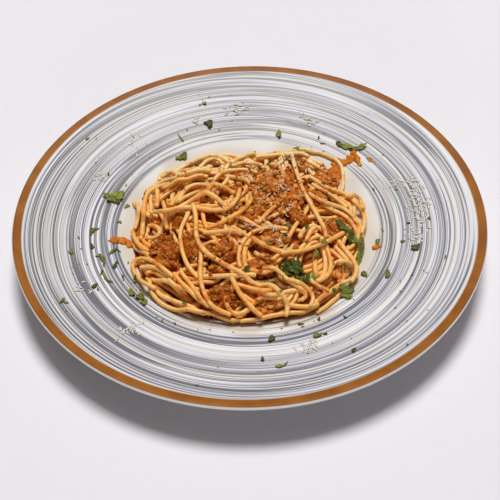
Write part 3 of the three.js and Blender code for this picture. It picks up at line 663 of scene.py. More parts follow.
# Strands that show in the picture, seen from above, the lowest first
shownRoutes = dict(
    backArchA=[(-53.4, 32.8), (-53.3, 39.2), (-51, 42.2), (-47.1, 41.1), (-43.3, 38.3), (-39.9, 32.5)],
    backArchA2=[(-51.7, 34), (-48.6, 35.1), (-44.3, 34), (-39.2, 29.8)],
    backArchB=[(-35, 45.2), (-28.9, 47.8), (-24.1, 50.9), (-19.3, 51.6), (-14.9, 46.5), (-11.2, 38.1)],
    backArchC=[(-29.2, 37.4), (-26.3, 41.7), (-22.1, 44.1), (-17.9, 42.9), (-14.2, 35.8)],
    backArchD=[(-10, 38.1), (-5.9, 43.9), (-1, 50), (3.3, 53.2), (7.5, 47.4)],
    backArchE=[(-9.4, 33.8), (-2.9, 37.6), (3.1, 36.9), (8.4, 33.7)],
    backTopA=[(5, 46), (9.9, 46), (15.3, 47.1), (21.5, 49.3)],
    backTopB=[
        (21.3, 44.8), (24.6, 51.6), (29.1, 55.2), (35.5, 59.8), (41.8, 60.6), (48.4, 57.1), (53.7, 52.7),
    ],
    backTopC=[(24.2, 43.7), (29.3, 47.3), (33.4, 46), (36.9, 42.9), (40.4, 40.5), (43.9, 38.5), (47.4, 35.6)],
    backTopD=[(23.2, 47.9), (28.8, 50.7), (33.7, 51.1), (37.3, 48.6)],
    rightLoop=[
        (53.1, 53.9), (55.9, 49.8), (57.4, 44.9), (57.6, 39.3), (57.2, 33.9), (55, 21.8), (52.3, 14.7),
    ],
    leftBandB=[(-57.4, 27.5), (-51.4, 30.4), (-44.2, 32.2), (-36.9, 32.7), (-29.6, 31.8), (-22.4, 28.9)],
    leftBandG=[
        (-61, 24.6), (-57.3, 26.1), (-52.4, 26.4), (-46.4, 27.7), (-39.2, 28.6), (-31.3, 27.3), (-23.5, 23.8),
    ],
    leftBandF=[(-50.4, 22.2), (-44.9, 21.7), (-39, 23.6), (-33, 24.8), (-25.9, 22.9)],
    leftDownA=[(-57.8, 24.4), (-57.6, 16.2), (-56.8, 7.6), (-57.1, 0.8)],
    leftDownB=[(-54.1, 23.1), (-53.3, 14), (-53.1, 4.9)],
    outerLeftM=[(-68.3, 21.2), (-64.4, 11.9), (-60.3, 5), (-56.4, -0.3), (-52.2, -2.5)],
    outerLeftN=[(-66.4, 19.8), (-64.7, 11.3), (-64, 4.4), (-64.8, -1.9), (-66.1, -6)],
    outerLeftL=[(-61.1, -13.4), (-61.1, -2.2), (-61.3, 10.7), (-60.7, 20), (-58.5, 24.7), (-53.6, 26)],
    outerLeftO=[(-67.3, -5.9), (-66, -11.5), (-63.6, -17.5), (-60.3, -22.7), (-56.4, -26.4)],
    farRightI=[
        (36.4, 25.8), (41, 22.6), (45.5, 19.7), (50.2, 18.4), (55.6, 18.1), (60.2, 15.7), (63.5, 11.8),
        (66, 7.2), (66.9, 1), (65.8, -6.6), (63.3, -14.1),
    ],
    farRightI2=[(37.2, 19), (41.7, 15.8), (47.3, 12.2), (52.3, 8.5), (56.7, 3.8)],
    farRightJ=[(57.1, 15.1), (62.8, 21.6), (65.9, 17.1), (67.6, 10.2)],
    innerI=[(-44.7, 3.8), (-42.8, 8.2), (-39.7, 11.9), (-35.7, 14.7), (-30.4, 15.7)],
    innerH=[(-41.8, 5.2), (-38.5, 10.2), (-33.9, 14.5), (-29.8, 16.1), (-24.6, 16.1)],
    innerV=[(-40.6, 4), (-36.1, 7.5), (-31.4, 10.1), (-25.6, 10.3), (-20.4, 8.7)],
    innerT=[(-24.4, 7.7), (-22.2, 12.6), (-18.7, 14.7), (-15.2, 11.2)],
    innerU=[(-19.9, 15.9), (-15.8, 13.1), (-11.8, 9.4), (-8.3, 5.1)],
    eyeTop=[
        (-47.5, -1.7), (-39.4, 0.9), (-32.5, 3.7), (-25.6, 5.4), (-19.8, 3.3), (-15.8, -0.8), (-12.4, -6),
    ],
    frontInnerP=[(-26.3, -5.2), (-25.9, -9.9), (-25, -15.3), (-23, -20.6)],
    loopR=[
        (-45.8, -16.9), (-46.8, -13), (-47.2, -9), (-46.5, -5.3), (-44.2, -3.4), (-40.4, -4.1), (-36.3, -5.8),
    ],
    loopS=[
        (-57.9, -7.1), (-54.9, -7.9), (-51.8, -11), (-50.8, -14.5), (-51.9, -17.4), (-55, -17.8),
        (-58, -15.6),
    ],
    leftInner=[(-57.7, -40.6), (-53.6, -40.9), (-48.5, -44.7), (-42.8, -49.5)],
    leftInnerB=[(-61.3, -35.6), (-55.4, -37.3), (-49.7, -40.8), (-44, -45.8), (-40.1, -49.5)],
    frontI=[(-54.1, -46), (-48.4, -50), (-42.8, -54), (-36.2, -58.5), (-31.3, -62.4)],
    frontH=[(-52.9, -51.9), (-46.7, -58.2), (-40.6, -62.2), (-33, -66.2), (-24.4, -69.8)],
    frontJ=[(-45.1, -47.3), (-41.1, -51.9), (-37.3, -54.9), (-32.9, -57.7), (-29.1, -61), (-25.3, -64.2)],
    goldA=[(-41.8, -44.5), (-38.4, -49.9), (-34.5, -54.5), (-30.7, -59), (-26.9, -63.1)],
    goldB=[(-38.5, -43.9), (-35.1, -49.3), (-31.8, -54.3)],
    frontG=[
        (-55.2, -47.2), (-54.4, -51.6), (-49.6, -58.1), (-44, -62.3), (-37.4, -65.6), (-29.8, -68.7),
        (-21.2, -70.9), (-10.5, -72.7), (2.2, -73.2),
    ],
    bottomS=[(-6.3, -73.4), (2.2, -73.4), (10.8, -72.6), (19.9, -70.7), (28, -68.2), (35.8, -64.4)],
    frontLoop=[
        (-51.8, -50.9), (-55.8, -47.6), (-60, -43.6), (-63.4, -38.7), (-65.3, -34.2), (-65.8, -30.6),
        (-63.9, -29.3), (-60.9, -30), (-57.4, -31.6), (-53.8, -34.3), (-50.3, -37.8), (-46.9, -41.5),
        (-42.3, -46.5),
    ],
    rightK=[(40.7, 1.2), (46.9, -1.4), (53.1, -3.1), (57.5, -6.8), (60, -11.9), (60.4, -17.5), (58.5, -22.9)],
    rightH=[(34.2, 9.2), (39.8, 4.9), (46.6, 3.3), (53.6, 2.7), (58.6, -1.4), (61.6, -7.4)],
    rightM2=[(36.3, -33.9), (35.4, -39.2), (35.2, -44), (35.5, -48.2)],
    rightL2=[(39.4, -28.2), (40.7, -34.3), (41.1, -41.1), (39.9, -46.9), (36.9, -51.6)],
    rightK2=[
        (41.2, -25.8), (42.4, -29.5), (43.3, -33.7), (44.1, -38.6), (43.7, -43.7), (42.1, -48.1),
        (38.6, -51.5), (35.2, -53),
    ],
    rightR2=[(62.5, -10), (60.9, -17.9), (57.8, -24.4), (53.4, -29.1)],
    rightLoopO=[
        (46, -39.5), (48.3, -37.5), (51.8, -36.2), (55.2, -36.3), (57.4, -38), (57.8, -40.6), (56.1, -44.5),
        (52.1, -48.5), (48.6, -51),
    ],
    rightN2=[
        (48.8, -23.1), (51.4, -26.5), (54, -29.7), (56.6, -33.1), (58.7, -36.2), (58.5, -40.1), (55.2, -45.9),
    ],
    rightN3=[(46.8, -27.6), (49.4, -30.2), (52, -33), (54.1, -35.2)],
    rightP2=[(49.2, -50.3), (44.5, -54.7), (40.4, -58), (37, -61), (33.6, -64.4)],
    rightP3=[(50.9, -50.5), (46.7, -54.7), (42.6, -58.4), (38.6, -61.7), (35.2, -64.6)],
    rightQ2=[(26.7, -48.2), (29.4, -49.6), (33.6, -52), (37.9, -54.1), (42.2, -55.1)],
    bottomArcL=[
        (-13.8, -61.5), (-13, -66.2), (-11, -69), (-7.8, -70.4), (-4.6, -69.9), (-1.3, -68.1), (1.4, -65.5),
        (4.1, -63.5), (8.4, -62.5), (13.7, -63.2),
    ],
    frontFlatU=[(17.4, -66.1), (23.8, -66.6), (30.3, -65.8), (36.3, -63.5)],
    frontH2=[(-2.7, -58.3), (5.8, -60), (12.7, -61.1), (20.9, -58.8), (26.3, -57.9)],
    frontFlatO=[(-8, -56.2), (-1.6, -57.4), (5.9, -58.7), (13.4, -58.5)],
    frontMid=[(-4.1, -47.7), (0.7, -48.9), (6.1, -49.3), (11, -48.3), (15.4, -46.6)],
    frontE2=[
        (6.1, -51.2), (13.6, -52.5), (20, -54.2), (24.8, -55.8), (28.2, -58.3), (29.1, -61.4), (26.6, -64.1),
    ],
    frontF2=[(20.1, -52.3), (25.9, -53.8), (29.9, -56.2), (32.5, -59.3), (33.1, -62.5), (31.4, -65.5)],
    strandC2=[(-25.8, -49.1), (-20.4, -49.7), (-13.9, -50), (-8.5, -50), (-2.5, -50.7), (2.8, -51.7)],
    strandM=[(27.4, -27.9), (29, -23.7), (31.2, -19.8), (34.4, -17.3), (37.8, -16.5)],
    strandM2=[(31, -28), (32.9, -24.1), (34.8, -20), (37.2, -17.6)],
    strandR=[(-25.8, -22.1), (-20.3, -22.7), (-14.1, -22.6), (-8.6, -23), (-4.2, -25.6)],
    strandQ=[
        (-23.6, -19.1), (-19.1, -18.2), (-14.7, -15.9), (-10.2, -13.1), (-5.6, -10.1), (-2.2, -6.7),
        (0.7, -2.2), (1.9, 2.8),
    ],
    strandO=[(4.8, -18.1), (7.7, -14.4), (10.6, -10.2), (14.1, -5.9), (17.1, -2.5)],
    loopG=[(13.7, 34.6), (17.2, 32.4), (19.7, 28.1), (20.6, 22), (19.8, 16.2), (18.2, 11.3)],
    hookB=[(1.2, -28.1), (-0.7, -30.5), (-2.5, -34.3), (-3.1, -38.6), (-3.2, -42.6), (-2.4, -46)],
    strandL=[
        (21.3, -21.4), (16.9, -21), (11.4, -21.1), (6.9, -22.1), (3, -23.6), (-0.4, -26.2), (-3.2, -29.6),
        (-5.2, -33.5), (-6.1, -37.8), (-6.3, -42), (-5.4, -45.9),
    ],
    shortA2=[(1.2, -29.1), (3.9, -31.4), (7.1, -33.5), (10.9, -35.3), (15.3, -36.2), (19.1, -36.5)],
    shortA3=[(2.7, -34.4), (4.8, -37.5), (7.5, -39.6), (10.7, -41.3)],
    strandS7=[
        (-33.5, -2.5), (-35.9, -9.8), (-38.1, -15.9), (-38.6, -22.7), (-37.6, -30.9), (-35.5, -38.2),
        (-32.4, -44.2), (-28.5, -49.7),
    ],
    strandK=[(-34, -50.6), (-31.5, -54.3), (-28.8, -58.6), (-25.9, -62.9), (-22.7, -65.9)],
    strandV=[
        (-28, -30.5), (-27.1, -36.1), (-27.1, -42.2), (-27.2, -48), (-26.4, -54.5), (-24.5, -60.1),
        (-21.3, -65.2), (-16.8, -68.6), (-11, -71.3),
    ],
    strandN3=[
        (-10.4, -50.8), (-8.8, -54.1), (-6.7, -58.1), (-4.4, -62), (-1.5, -65.6), (1.8, -69.1), (5.5, -71.5),
    ],
    bigU=[
        (-57.2, 3.5), (-51.2, 1.5), (-44.1, 0.7), (-39.4, 0.2), (-32.9, -1.3), (-26.6, -4), (-22, -6.1),
        (-17.5, -7), (-12.9, -6.2), (-9.5, -3.9), (-6.7, 0.7), (-5.2, 7.4), (-5.7, 14.9),
    ],
    strandS8=[
        (-31.7, -3.8), (-30.2, -9.7), (-29.8, -15.1), (-29.8, -20.8), (-28.9, -26.3), (-26.9, -30.9),
        (-23.9, -35.2), (-20.3, -38.6), (-15.9, -42.1), (-11.1, -45.3), (-5.7, -48.4), (-0.4, -50.9),
        (3.9, -52.3), (8.1, -54.3), (12.4, -56.8), (16, -60), (18.3, -63.6), (19.2, -67.4), (18.3, -70.9),
    ],
    mainRight=[
        (26.4, 44.1), (27.7, 34.2), (29, 25), (30.3, 16.7), (31.9, 9.5), (34.1, 2.9), (36.6, -3.8),
        (38.8, -9.6), (41.1, -14.9), (42.4, -20.1), (42.5, -23.4),
    ],
    diagonal=[
        (16.8, -39.6), (21.8, -37.7), (27.4, -35.2), (32.4, -32.8), (37.6, -29.6), (42.9, -25.7),
        (48.3, -21.2), (53.2, -16.7),
    ],
)

# The meat sauce on top of the inner strands: a relief of grains stamped on a fine grid, kept where it rises
# above them. Each grain of mince is a short row of balls
meat = dict(
    cell=0.42, half=75, base=3.1, sink=3.4, wall=2.2, least=0.12, within=0.95,
    chunks=(420, 1.1, 2.6, -0.8, -9),  # how many, least and most size, lift, and how patchy they lie
    grains=(2400, 0.4, 1.15, 0.0, -0.3),
)


def makeMeatRelief():
    draw = np.random.default_rng(31)
    step = meat["cell"]
    n = int(2 * meat["half"] / step) + 1
    xs = np.linspace(-meat["half"], meat["half"], n)
    x, y = np.meshgrid(xs, xs + heapForm["y"])
    sauce = sauceAt(x, y)
    under = heightUnder(x, y, 0.5)
    lumps = 0.9 * waves(x, y, 11, 32) + 0.5 * waves(x, y, 5, 33)
    surface = heapTop(x, y) - meat["base"] - meat["sink"] * smooth(0.75, 0.3, sauce)
    surface = surface + lumps * smooth(0.2, 0.8, sauce)
    tint = np.full(x.shape, 0.2)
    rows = []
    for count, low, high, lift, patchy in (meat["chunks"], meat["grains"]):
        gx, gy = draw.uniform(-70, 70, (2, count * 3))
        keep = (sauceAt(gx, gy) > 0.3) & (share(gx, gy) < meat["within"]) & (waves(gx, gy, 10, 34) > patchy)
        gx, gy = gx[keep][:count], gy[keep][:count]
        size, turn = draw.uniform(low, high, len(gx)), draw.uniform(0, 2 * np.pi, len(gx))
        shade, rise = draw.uniform(0, 1, len(gx)), draw.uniform(-0.3, 0.35, len(gx)) + lift
        for k in range(3):
            px, py = gx + np.cos(turn) * size * 0.75 * k, gy + np.sin(turn) * size * 0.75 * k
            rows.append(np.column_stack([px, py, size * (1, 0.95, 0.8)[k], shade, rise]))
    balls = np.concatenate(rows)
    iy = np.rint((balls[:, 1] - xs[0] - heapForm["y"]) / step).astype(int)
    ix = np.rint((balls[:, 0] - xs[0]) / step).astype(int)
    base = surface[np.clip(iy, 0, n - 1), np.clip(ix, 0, n - 1)]
    reach = int(2.4 / step)
    oy, ox = np.mgrid[-reach : reach + 1, -reach : reach + 1].reshape(2, -1)
    far = np.hypot(ox, oy) * step
    dome = 0.75 * np.sqrt(np.clip(balls[:, 2, None] ** 2 - far**2, 0, None))
    rise = (base + balls[:, 4])[:, None] + dome - 0.35 * balls[:, 2, None]
    onY, onX = iy[:, None] + oy, ix[:, None] + ox
    ok = (far < balls[:, 2, None]) & (onY >= 0) & (onY < n) & (onX >= 0) & (onX < n)
    place = (onY * n + onX)[ok]
    value, shade = rise[ok], np.broadcast_to(balls[:, 3, None], ok.shape)[ok]
    order = np.argsort(value)
    highest = np.full(n * n, -1e3)
    highest[place[order]] = value[order]
    shades = np.full(n * n, 0.2)
    shades[place[order]] = shade[order]
    raised = highest.reshape(n, n) > surface
    z = np.where(raised, highest.reshape(n, n), surface)
    tint = np.where(raised, shades.reshape(n, n), tint)
    kept = (z > under - 0.35) & (sauce > meat["least"]) & (share(x, y) < meat["within"])
    closeGaps(kept)
    thick = np.maximum(z - meat["wall"], plateTop(np.hypot(x, y)) + 0.1)
    addRelief("meatSauce", x, y, z, thick, kept, tint, meatMaterial, raguNodes)
    iy, ix = gridIndex(x[kept], y[kept])
    np.maximum.at(heights, (iy, ix), z[kept] - 0.2)


# Drops single cells and fills single holes, so that the relief has no loose specks
def closeGaps(kept):
    for _ in range(3):
        near = sum(np.roll(kept, shift, (0, 1)).astype(int) for shift in ((0, 1), (0, -1), (1, 0), (-1, 0)))
        kept[near >= 3] = True
        kept[near <= 1] = False
    kept[:2], kept[-2:], kept[:, :2], kept[:, -2:] = False, False, False, False


# A closed relief: the kept cells' upper and lower squares, and a wall wherever a kept cell has no neighbour
def addRelief(name, x, y, top, low, kept, tint, material, replaced):
    n = x.shape[1]
    cells = kept[:-1, :-1] & kept[1:, :-1] & kept[:-1, 1:] & kept[1:, 1:]
    used = np.zeros(x.shape, bool)
    for a in (0, 1):
        for b in (0, 1):
            used[a : a + cells.shape[0], b : b + cells.shape[1]] |= cells
    number = np.cumsum(used.ravel()).reshape(x.shape) - 1
    total = int(used.sum())
    iy, ix = np.nonzero(cells)
    a, b, c, d = number[iy, ix], number[iy, ix + 1], number[iy + 1, ix + 1], number[iy + 1, ix]
    quads = [np.stack([a, b, c, d], -1), np.stack([a, d, c, b], -1) + total]
    padded = np.pad(cells, 1)
    for dy, dx, one, two in ((-1, 0, a, b), (0, 1, b, c), (1, 0, c, d), (0, -1, d, a)):
        free = ~padded[iy + 1 + dy, ix + 1 + dx]
        quads.append(np.stack([two[free], one[free], one[free] + total, two[free] + total], -1))
    upper = np.stack([x[used], y[used], top[used]], -1)
    lower = np.stack([x[used], y[used], np.minimum(low[used], top[used] - 0.05)], -1)
    shades = np.concatenate([tint[used], tint[used]])
    points = np.concatenate([upper, lower])
    addPiece(name, points, np.concatenate(quads), [], material, replaced, {"tint": shades})


raguNodes = [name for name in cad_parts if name.startswith("ragu")]
makeMeatRelief()

# Loose crumbs of mince: lumpy balls on top of the relief and of the strands
crumbLook = dict(size=(0.35, 1.2), knob=0.22, onMeat=760, onStrands=420)


def unitBall():
    form = bmesh.new()
    bmesh.ops.create_icosphere(form, subdivisions=2, radius=1)
    points = np.array([v.co[:] for v in form.verts])
    faces = np.array([[v.index for v in f.verts] for f in form.faces])
    form.free()
    return points, faces


# Copies of a ball, each stretched, knobbed by waves over its surface, and turned about the upright axis
def lumpyBalls(places, sizes, seed):
    draw = np.random.default_rng(seed)
    ball, faces = unitBall()
    count = len(places)
    stretch = draw.uniform(0.7, 1.5, (count, 1, 3)) * np.array([1, 0.9, 0.75])
    lumps = 1.0
    for k in range(3):
        wave = draw.normal(0, 2.6, (count, 1, 3))
        along = (ball[None] * wave).sum(-1, keepdims=True)
        lumps = lumps + crumbLook["knob"] * np.sin(along + draw.uniform(0, 6.3, (count, 1, 1)))
    points = ball[None] * stretch * lumps * sizes[:, None, None]
    a = draw.uniform(0, 2 * np.pi, (count, 1))
    x = points[..., 0] * np.cos(a) - points[..., 1] * np.sin(a)
    y = points[..., 0] * np.sin(a) + points[..., 1] * np.cos(a)
    points = np.stack([x, y, points[..., 2]], -1) + places[:, None]
    index = faces[None] + (np.arange(count) * len(ball))[:, None, None]
    return points.reshape(-1, 3), index.reshape(-1, 3), len(ball)


crumbs = []


def scatterCrumbs(count, clearance, threshold, seed):
    draw = np.random.default_rng(seed)
    x, y = draw.uniform(-70, 70, (2, count * 8))
    size = draw.uniform(*crumbLook["size"], len(x))
    base = heightUnder(x, y, 0.6)
    ok = sauceAt(x, y) > threshold + draw.uniform(-0.15, 0.3, len(x))
    ok &= (share(x, y) < 0.95) & (base + size < heapTop(x, y) - clearance)
    ok &= waves(x, y, 10, 34) > -0.1
    x, y, size, base = (v[ok][:count] for v in (x, y, size, base))
    crumbs.append(np.column_stack([x, y, base + size * 0.3, size]))


scatterCrumbs(crumbLook["onMeat"], 0.8, 0.35, 41)
print("crumbs under the top strands:", sum(map(len, crumbs)))


# A place read on the mound's upper surface, moved along the camera's line of sight to another height
def alongSight(xy, z):
    eye = np.array(camera["place"])
    seen = heapTop(xy[:, 0], xy[:, 1])
    grow = (eye[2] - z) / (eye[2] - seen)
    return eye[:2] + (xy - eye[:2]) * grow[:, None]


def layShown():
    look = strandLook
    for points in shownRoutes.values():
        radius = look["radius"] * (1.02 + 0.08 * random.uniform(-1, 1))
        seen = evenRoute(points, look["samples"])
        route = seen
        for _ in range(3):
            route = alongSight(seen, restHeights(route, radius, 2.0))
        z = restHeights(route, radius, 2.0)
        stampStrand(route, z, radius)
        strands.append((np.column_stack([route, z]), radius, True))


layShown()
print("strands on top:", len(shownRoutes))


# Tubes along the axes: each ring is the axis point plus radius (cos a side + sin a up), closed by a fan at
# each end
def tubes(items, step, sides, seed):
    draw = np.random.default_rng(seed)
    points, quads, triangles, tints, saucy = [], [], [], [], []
    first = 0
    a = np.linspace(0, 2 * np.pi, sides, endpoint=False)
    for axis, radius, _ in items:
        axis = evenRoute(np.concatenate([axis[:-1:3], axis[-1:]]), step)
        count = len(axis)
        ahead = np.gradient(axis, axis=0)
        ahead /= np.linalg.norm(ahead, axis=1, keepdims=True)
        across = np.cross(ahead, (0, 0, 1.0))
        across /= np.linalg.norm(across, axis=1, keepdims=True)
        up = np.cross(across, ahead)
        far = np.arange(count) * step
        swell = 1 + 0.035 * np.sin(far / 7 + draw.uniform(0, 6))
        swell = swell + 0.025 * np.sin(far / 2.9 + draw.uniform(0, 6))
        swell = (swell * (1 - 0.22 * smooth(1.0, 0, np.minimum(far, far[::-1]))))[:, None, None]
        ring = np.cos(a)[None, :, None] * across[:, None] + np.sin(a)[None, :, None] * up[:, None]
        body = axis[:, None] + radius * swell * ring
        points += [body.reshape(-1, 3), axis[:1] - ahead[:1] * 0.25, axis[-1:] + ahead[-1:] * 0.25]
        faces, fans = ringFaces(count, sides, first)
        quads.append(faces)
        triangles.append(fans)
        tints.append(np.full(count * sides + 2, draw.uniform(0, 1)))
        stained = sauceAt(axis[:, 0], axis[:, 1])
        saucy.append(np.concatenate([np.repeat(stained, sides), stained[[0, -1]]]))
        first += count * sides + 2
    join = np.concatenate
    return join(points), join(quads), join(triangles), {"tint": join(tints), "sauce": join(saucy)}


def makeStrandMaterial():
    material, tree, shader = newMaterial("cookedSpaghetti")
    look = strandLook
    place = objectPlace(tree)
    shade = calculate(tree, "MULTIPLY", speckle(tree, place, 90.0, 2.0), 0.6)
    shade = calculate(tree, "MULTIPLY_ADD", attribute(tree, "tint"), 0.5, shade)
    colour = blendColours(tree, between(tree, shade, 0.25, 0.8), look["golden"], look["pale"])
    browned = between(tree, speckle(tree, place, 160.0, 3.0), 0.5, 0.75)
    colour = blendColours(tree, browned, colour, look["brown"])
    film = calculate(tree, "MULTIPLY", speckle(tree, place, 210.0, 4.0, 0.6), 0.95)
    film = calculate(tree, "MULTIPLY_ADD", attribute(tree, "sauce"), 0.3, film)
    film = calculate(tree, "MULTIPLY", between(tree, film, 0.52, 0.82), 0.8)
    colour = blendColours(tree, film, colour, look["stain"])
    # Paler in speckled patches towards the back of the mound
    towardsBack = partOf(tree, place, 1)
    paleTowardsBack = between(tree, speckle(tree, place, 300.0, 3.0), 0.3, 0.6)
    paleTowardsBack = calculate(tree, "MULTIPLY", between(tree, towardsBack, 0.012, 0.05), paleTowardsBack)
    colour = blendColours(tree, calculate(tree, "MULTIPLY", paleTowardsBack, 0.85), colour, look["paleBackTone"])
    specks = between(tree, speckle(tree, place, 1200.0, 1.0), 0.66, 0.73)
    colour = blendColours(tree, calculate(tree, "MULTIPLY", specks, 0.6), colour, tone(120, 66, 22))
    tree.links.new(colour, shader.inputs["Base Color"])
    tree.links.new(oiled(tree, 260.0, 0.58, 0.33), shader.inputs["Roughness"])
    setShader(shader, Specular_IOR_Level=0.34, Subsurface_Weight=0.45, Subsurface_Scale=0.002)
    setShader(shader, Subsurface_Radius=(1.0, 0.65, 0.3))
    tree.links.new(bump(tree, speckle(tree, place, 500.0, 3.0), 0.2, 0.0005), shader.inputs["Normal"])
    return material


strandMaterial = makeStrandMaterial()
# Each layer's name, whether it is the top one, the step along a strand, the sides of a tube, and a seed
strandLayers = [("strandsBelow", False, 1.5, 7, 61), ("strandsAbove", True, 0.7, 12, 62)]
for name, onTop, step, sides, seed in strandLayers:
    points, quads, triangles, values = tubes([s for s in strands if s[2] == onTop], step, sides, seed)
    addPiece(name, points, quads, triangles, strandMaterial, ["pasta"], values)

scatterCrumbs(crumbLook["onStrands"], -1.5, 0.5, 43)
allCrumbs = np.concatenate(crumbs)
points, faces, per = lumpyBalls(allCrumbs[:, :3], allCrumbs[:, 3], 44)
tint = np.repeat(np.clip(random.normal(0.4, 0.3, len(allCrumbs)), 0, 1.2), per)
addPiece("mincedCrumbs", points, [], faces, meatMaterial, raguNodes, {"tint": tint})

leafLook = dict(dark=tone(68, 78, 16), light=tone(154, 158, 66), thick=0.3, rings=7, sectors=44)

# Each leaf is a cluster of leaflets: x, y, length, width, direction that it points in, how much it rises that
# way
leaves = dict(
    parsley_centre=[
        (18.5, -43.5, 7, 6, 165, 0.1), (21.5, -40.5, 7, 6, 110, 0.15), (26, -41.5, 7, 6.5, 50, 0.1),
        (29, -45, 7, 6, -5, -0.1), (24.5, -45, 8, 7, -60, 0.2), (20.5, -47, 7, 5.5, -130, 0.0),
        (26.5, -49, 6.5, 5, -80, -0.1), (30.5, -50.5, 5, 4, -60, -0.2), (23.5, -43, 6.5, 5.5, 80, 0.4),
    ],
    parsley_right=[
        (51.5, -8.5, 7, 5, 140, -0.1), (54.2, -12, 8, 6.6, -60, 0.0), (57, -16.5, 8, 6.2, -66, -0.1),
        (59.2, -20, 5, 4, -70, -0.1),
    ],
    parsley_right_edge=[
        (64, -17.5, 7, 3.4, 80, 0.0), (62.8, -22.5, 8, 3.8, -100, 0.0), (61.4, -28, 6.5, 3.2, -104, 0.0),
    ],
    parsley_left_rim=[
        (-85, 26, 4.5, 3.5, 165, 0.2), (-81.5, 23.5, 7, 5.5, 200, 0.1), (-77.8, 26, 8.5, 7, 45, 0.1),
        (-79, 22.5, 6, 4.5, -50, 0.1),
    ],
    parsley_back_rim=[
        (57.8, 66.5, 6.5, 3.4, 140, 0.1), (62, 64, 7.5, 4.4, -20, 0.15), (66.5, 61.8, 7, 3.2, 190, 0.0),
        (71, 62.5, 7, 3.4, 25, 0.2),
    ],
    parsley_front_right=[
        (50.5, -52, 5, 4.5, 150, 0.1), (54, -51.5, 6, 5, 40, 0.2), (53, -55, 5.5, 5, -75, 0.0),
        (50, -54.5, 4, 3.5, 210, 0.0),
    ],
    parsley_front_left=[
        (-65.5, -50, 5.5, 3.6, 120, 0.2), (-60.5, -53, 6, 5, -40, 0.1), (-58.5, -56.5, 5, 4.2, -80, 0.0),
    ],
    parsley_back_left=[(-42.5, 60.5, 5, 3.4, 200, 0.1), (-39.5, 61.5, 5.5, 4, 60, 0.3)],
)


def makeLeafMaterial():
    material, tree, shader = newMaterial("parsleyLeaf")
    place = objectPlace(tree)
    shade = calculate(tree, "MULTIPLY_ADD", speckle(tree, place, 700.0, 3.0), 0.9, attribute(tree, "tint"))
    colour = blendColours(tree, between(tree, shade, 0.45, 1.25), leafLook["dark"], leafLook["light"])
    tree.links.new(colour, shader.inputs["Base Color"])
    tree.links.new(oiled(tree, 600.0, 0.65, 0.42), shader.inputs["Roughness"])
    setShader(shader, Specular_IOR_Level=0.35, Subsurface_Weight=0.1, Subsurface_Scale=0.001)
    setShader(shader, Subsurface_Radius=(0.6, 1.0, 0.2))
    tree.links.new(bump(tree, speckle(tree, place, 900.0, 3.0), 0.6, 0.0004), shader.inputs["Normal"])
    return material


leafMaterial = makeLeafMaterial()


# A leaflet: rows go out from its middle to a lobed, toothed outline, and back below by the leaf's thickness;
# columns go round. Its height follows the plane of what it lies on, tilts, and ripples more towards the edge
def leafletPoints(x, y, long, wide, turn, rise, draw):
    look = leafLook
    a = np.linspace(0, 2 * np.pi, look["sectors"], endpoint=False)
    s = np.linspace(0.08, 1, look["rings"])[:, None]
    lobe = 0.66 + 0.34 * np.abs(np.cos(1.5 * a + draw.uniform(-0.4, 0.4))) ** 0.7
    teeth = 1 + 0.09 * np.sin(a * 11 + draw.uniform(0, 6)) + 0.05 * np.sin(a * 17 + draw.uniform(0, 6))
    u = s * lobe * teeth * np.cos(a) * long / 2
    v = s * lobe * teeth * np.sin(a) * wide / 2
    curl = 0.13 * wide
    wave = np.sin(3 * a + draw.uniform(0, 6)) + 0.7 * np.sin(5 * a + 4 * s + draw.uniform(0, 6))
    vein = 0.35 * curl * np.exp(-((v / 0.5) ** 2))
    ripple = curl * s**1.5 * wave - vein - 0.25 * curl * s**2 * draw.uniform(-1, 1.5)
    t = math.radians(turn)
    px = x + u * math.cos(t) - v * math.sin(t)
    py = y + u * math.sin(t) + v * math.cos(t)
    base = heightUnder(px, py, 0.8)
    flat = np.column_stack([px.ravel(), py.ravel(), np.ones(px.size)])
    plane = (flat @ np.linalg.lstsq(flat, base.ravel(), rcond=None)[0]).reshape(px.shape)
    z = plane + np.percentile(base - plane, 75) * 0.6 + 0.5 + curl + rise * (u + long / 2) + ripple
    # The last value, the ripple's height, is used to paint light and shade on the leaf
    return px, py, np.maximum(z, plateTop(np.hypot(px, py)) + look["thick"] + 0.05), ripple / curl


def makeLeaf(name, leaflets, seed):
    draw = np.random.default_rng(seed)
    look = leafLook
    points, quads, triangles, tint = [], [], [], []
    first = 0
    for leaflet in leaflets:
        x, y, z, ripple = leafletPoints(*leaflet, draw)
        upper = np.stack([x, y, z], -1)
        centre = np.array([x[0].mean(), y[0].mean(), z[0].mean()])
        below = (0, 0, look["thick"])
        points += [upper.reshape(-1, 3), (upper - below)[::-1].reshape(-1, 3), [centre, centre - below]]
        faces, fans = ringFaces(2 * look["rings"], look["sectors"], first)
        quads.append(faces)
        triangles.append(fans)
        paler = np.clip(0.015 * (math.hypot(*leaflet[:2]) - 60), -0.15, 0.14)
        ripple = np.concatenate([ripple.ravel(), ripple[::-1].ravel(), [0, 0]])
        # Painted light and shade: the tint rises with the ripple's height, so crests are painted lighter and
        # hollows and the sunken vein darker
        tint.append(paler + draw.uniform(0.05, 0.4) + 0.16 * ripple)
        first += 2 * upper[..., 0].size + 2
    join = np.concatenate
    points, quads, triangles = join(points), join(quads), join(triangles)
    addPiece(name + "_leaf", points, quads, triangles, leafMaterial, [name], {"tint": join(tint)})


for seed, (name, leaflets) in enumerate(leaves.items()):
    makeLeaf(name, leaflets, 70 + seed)


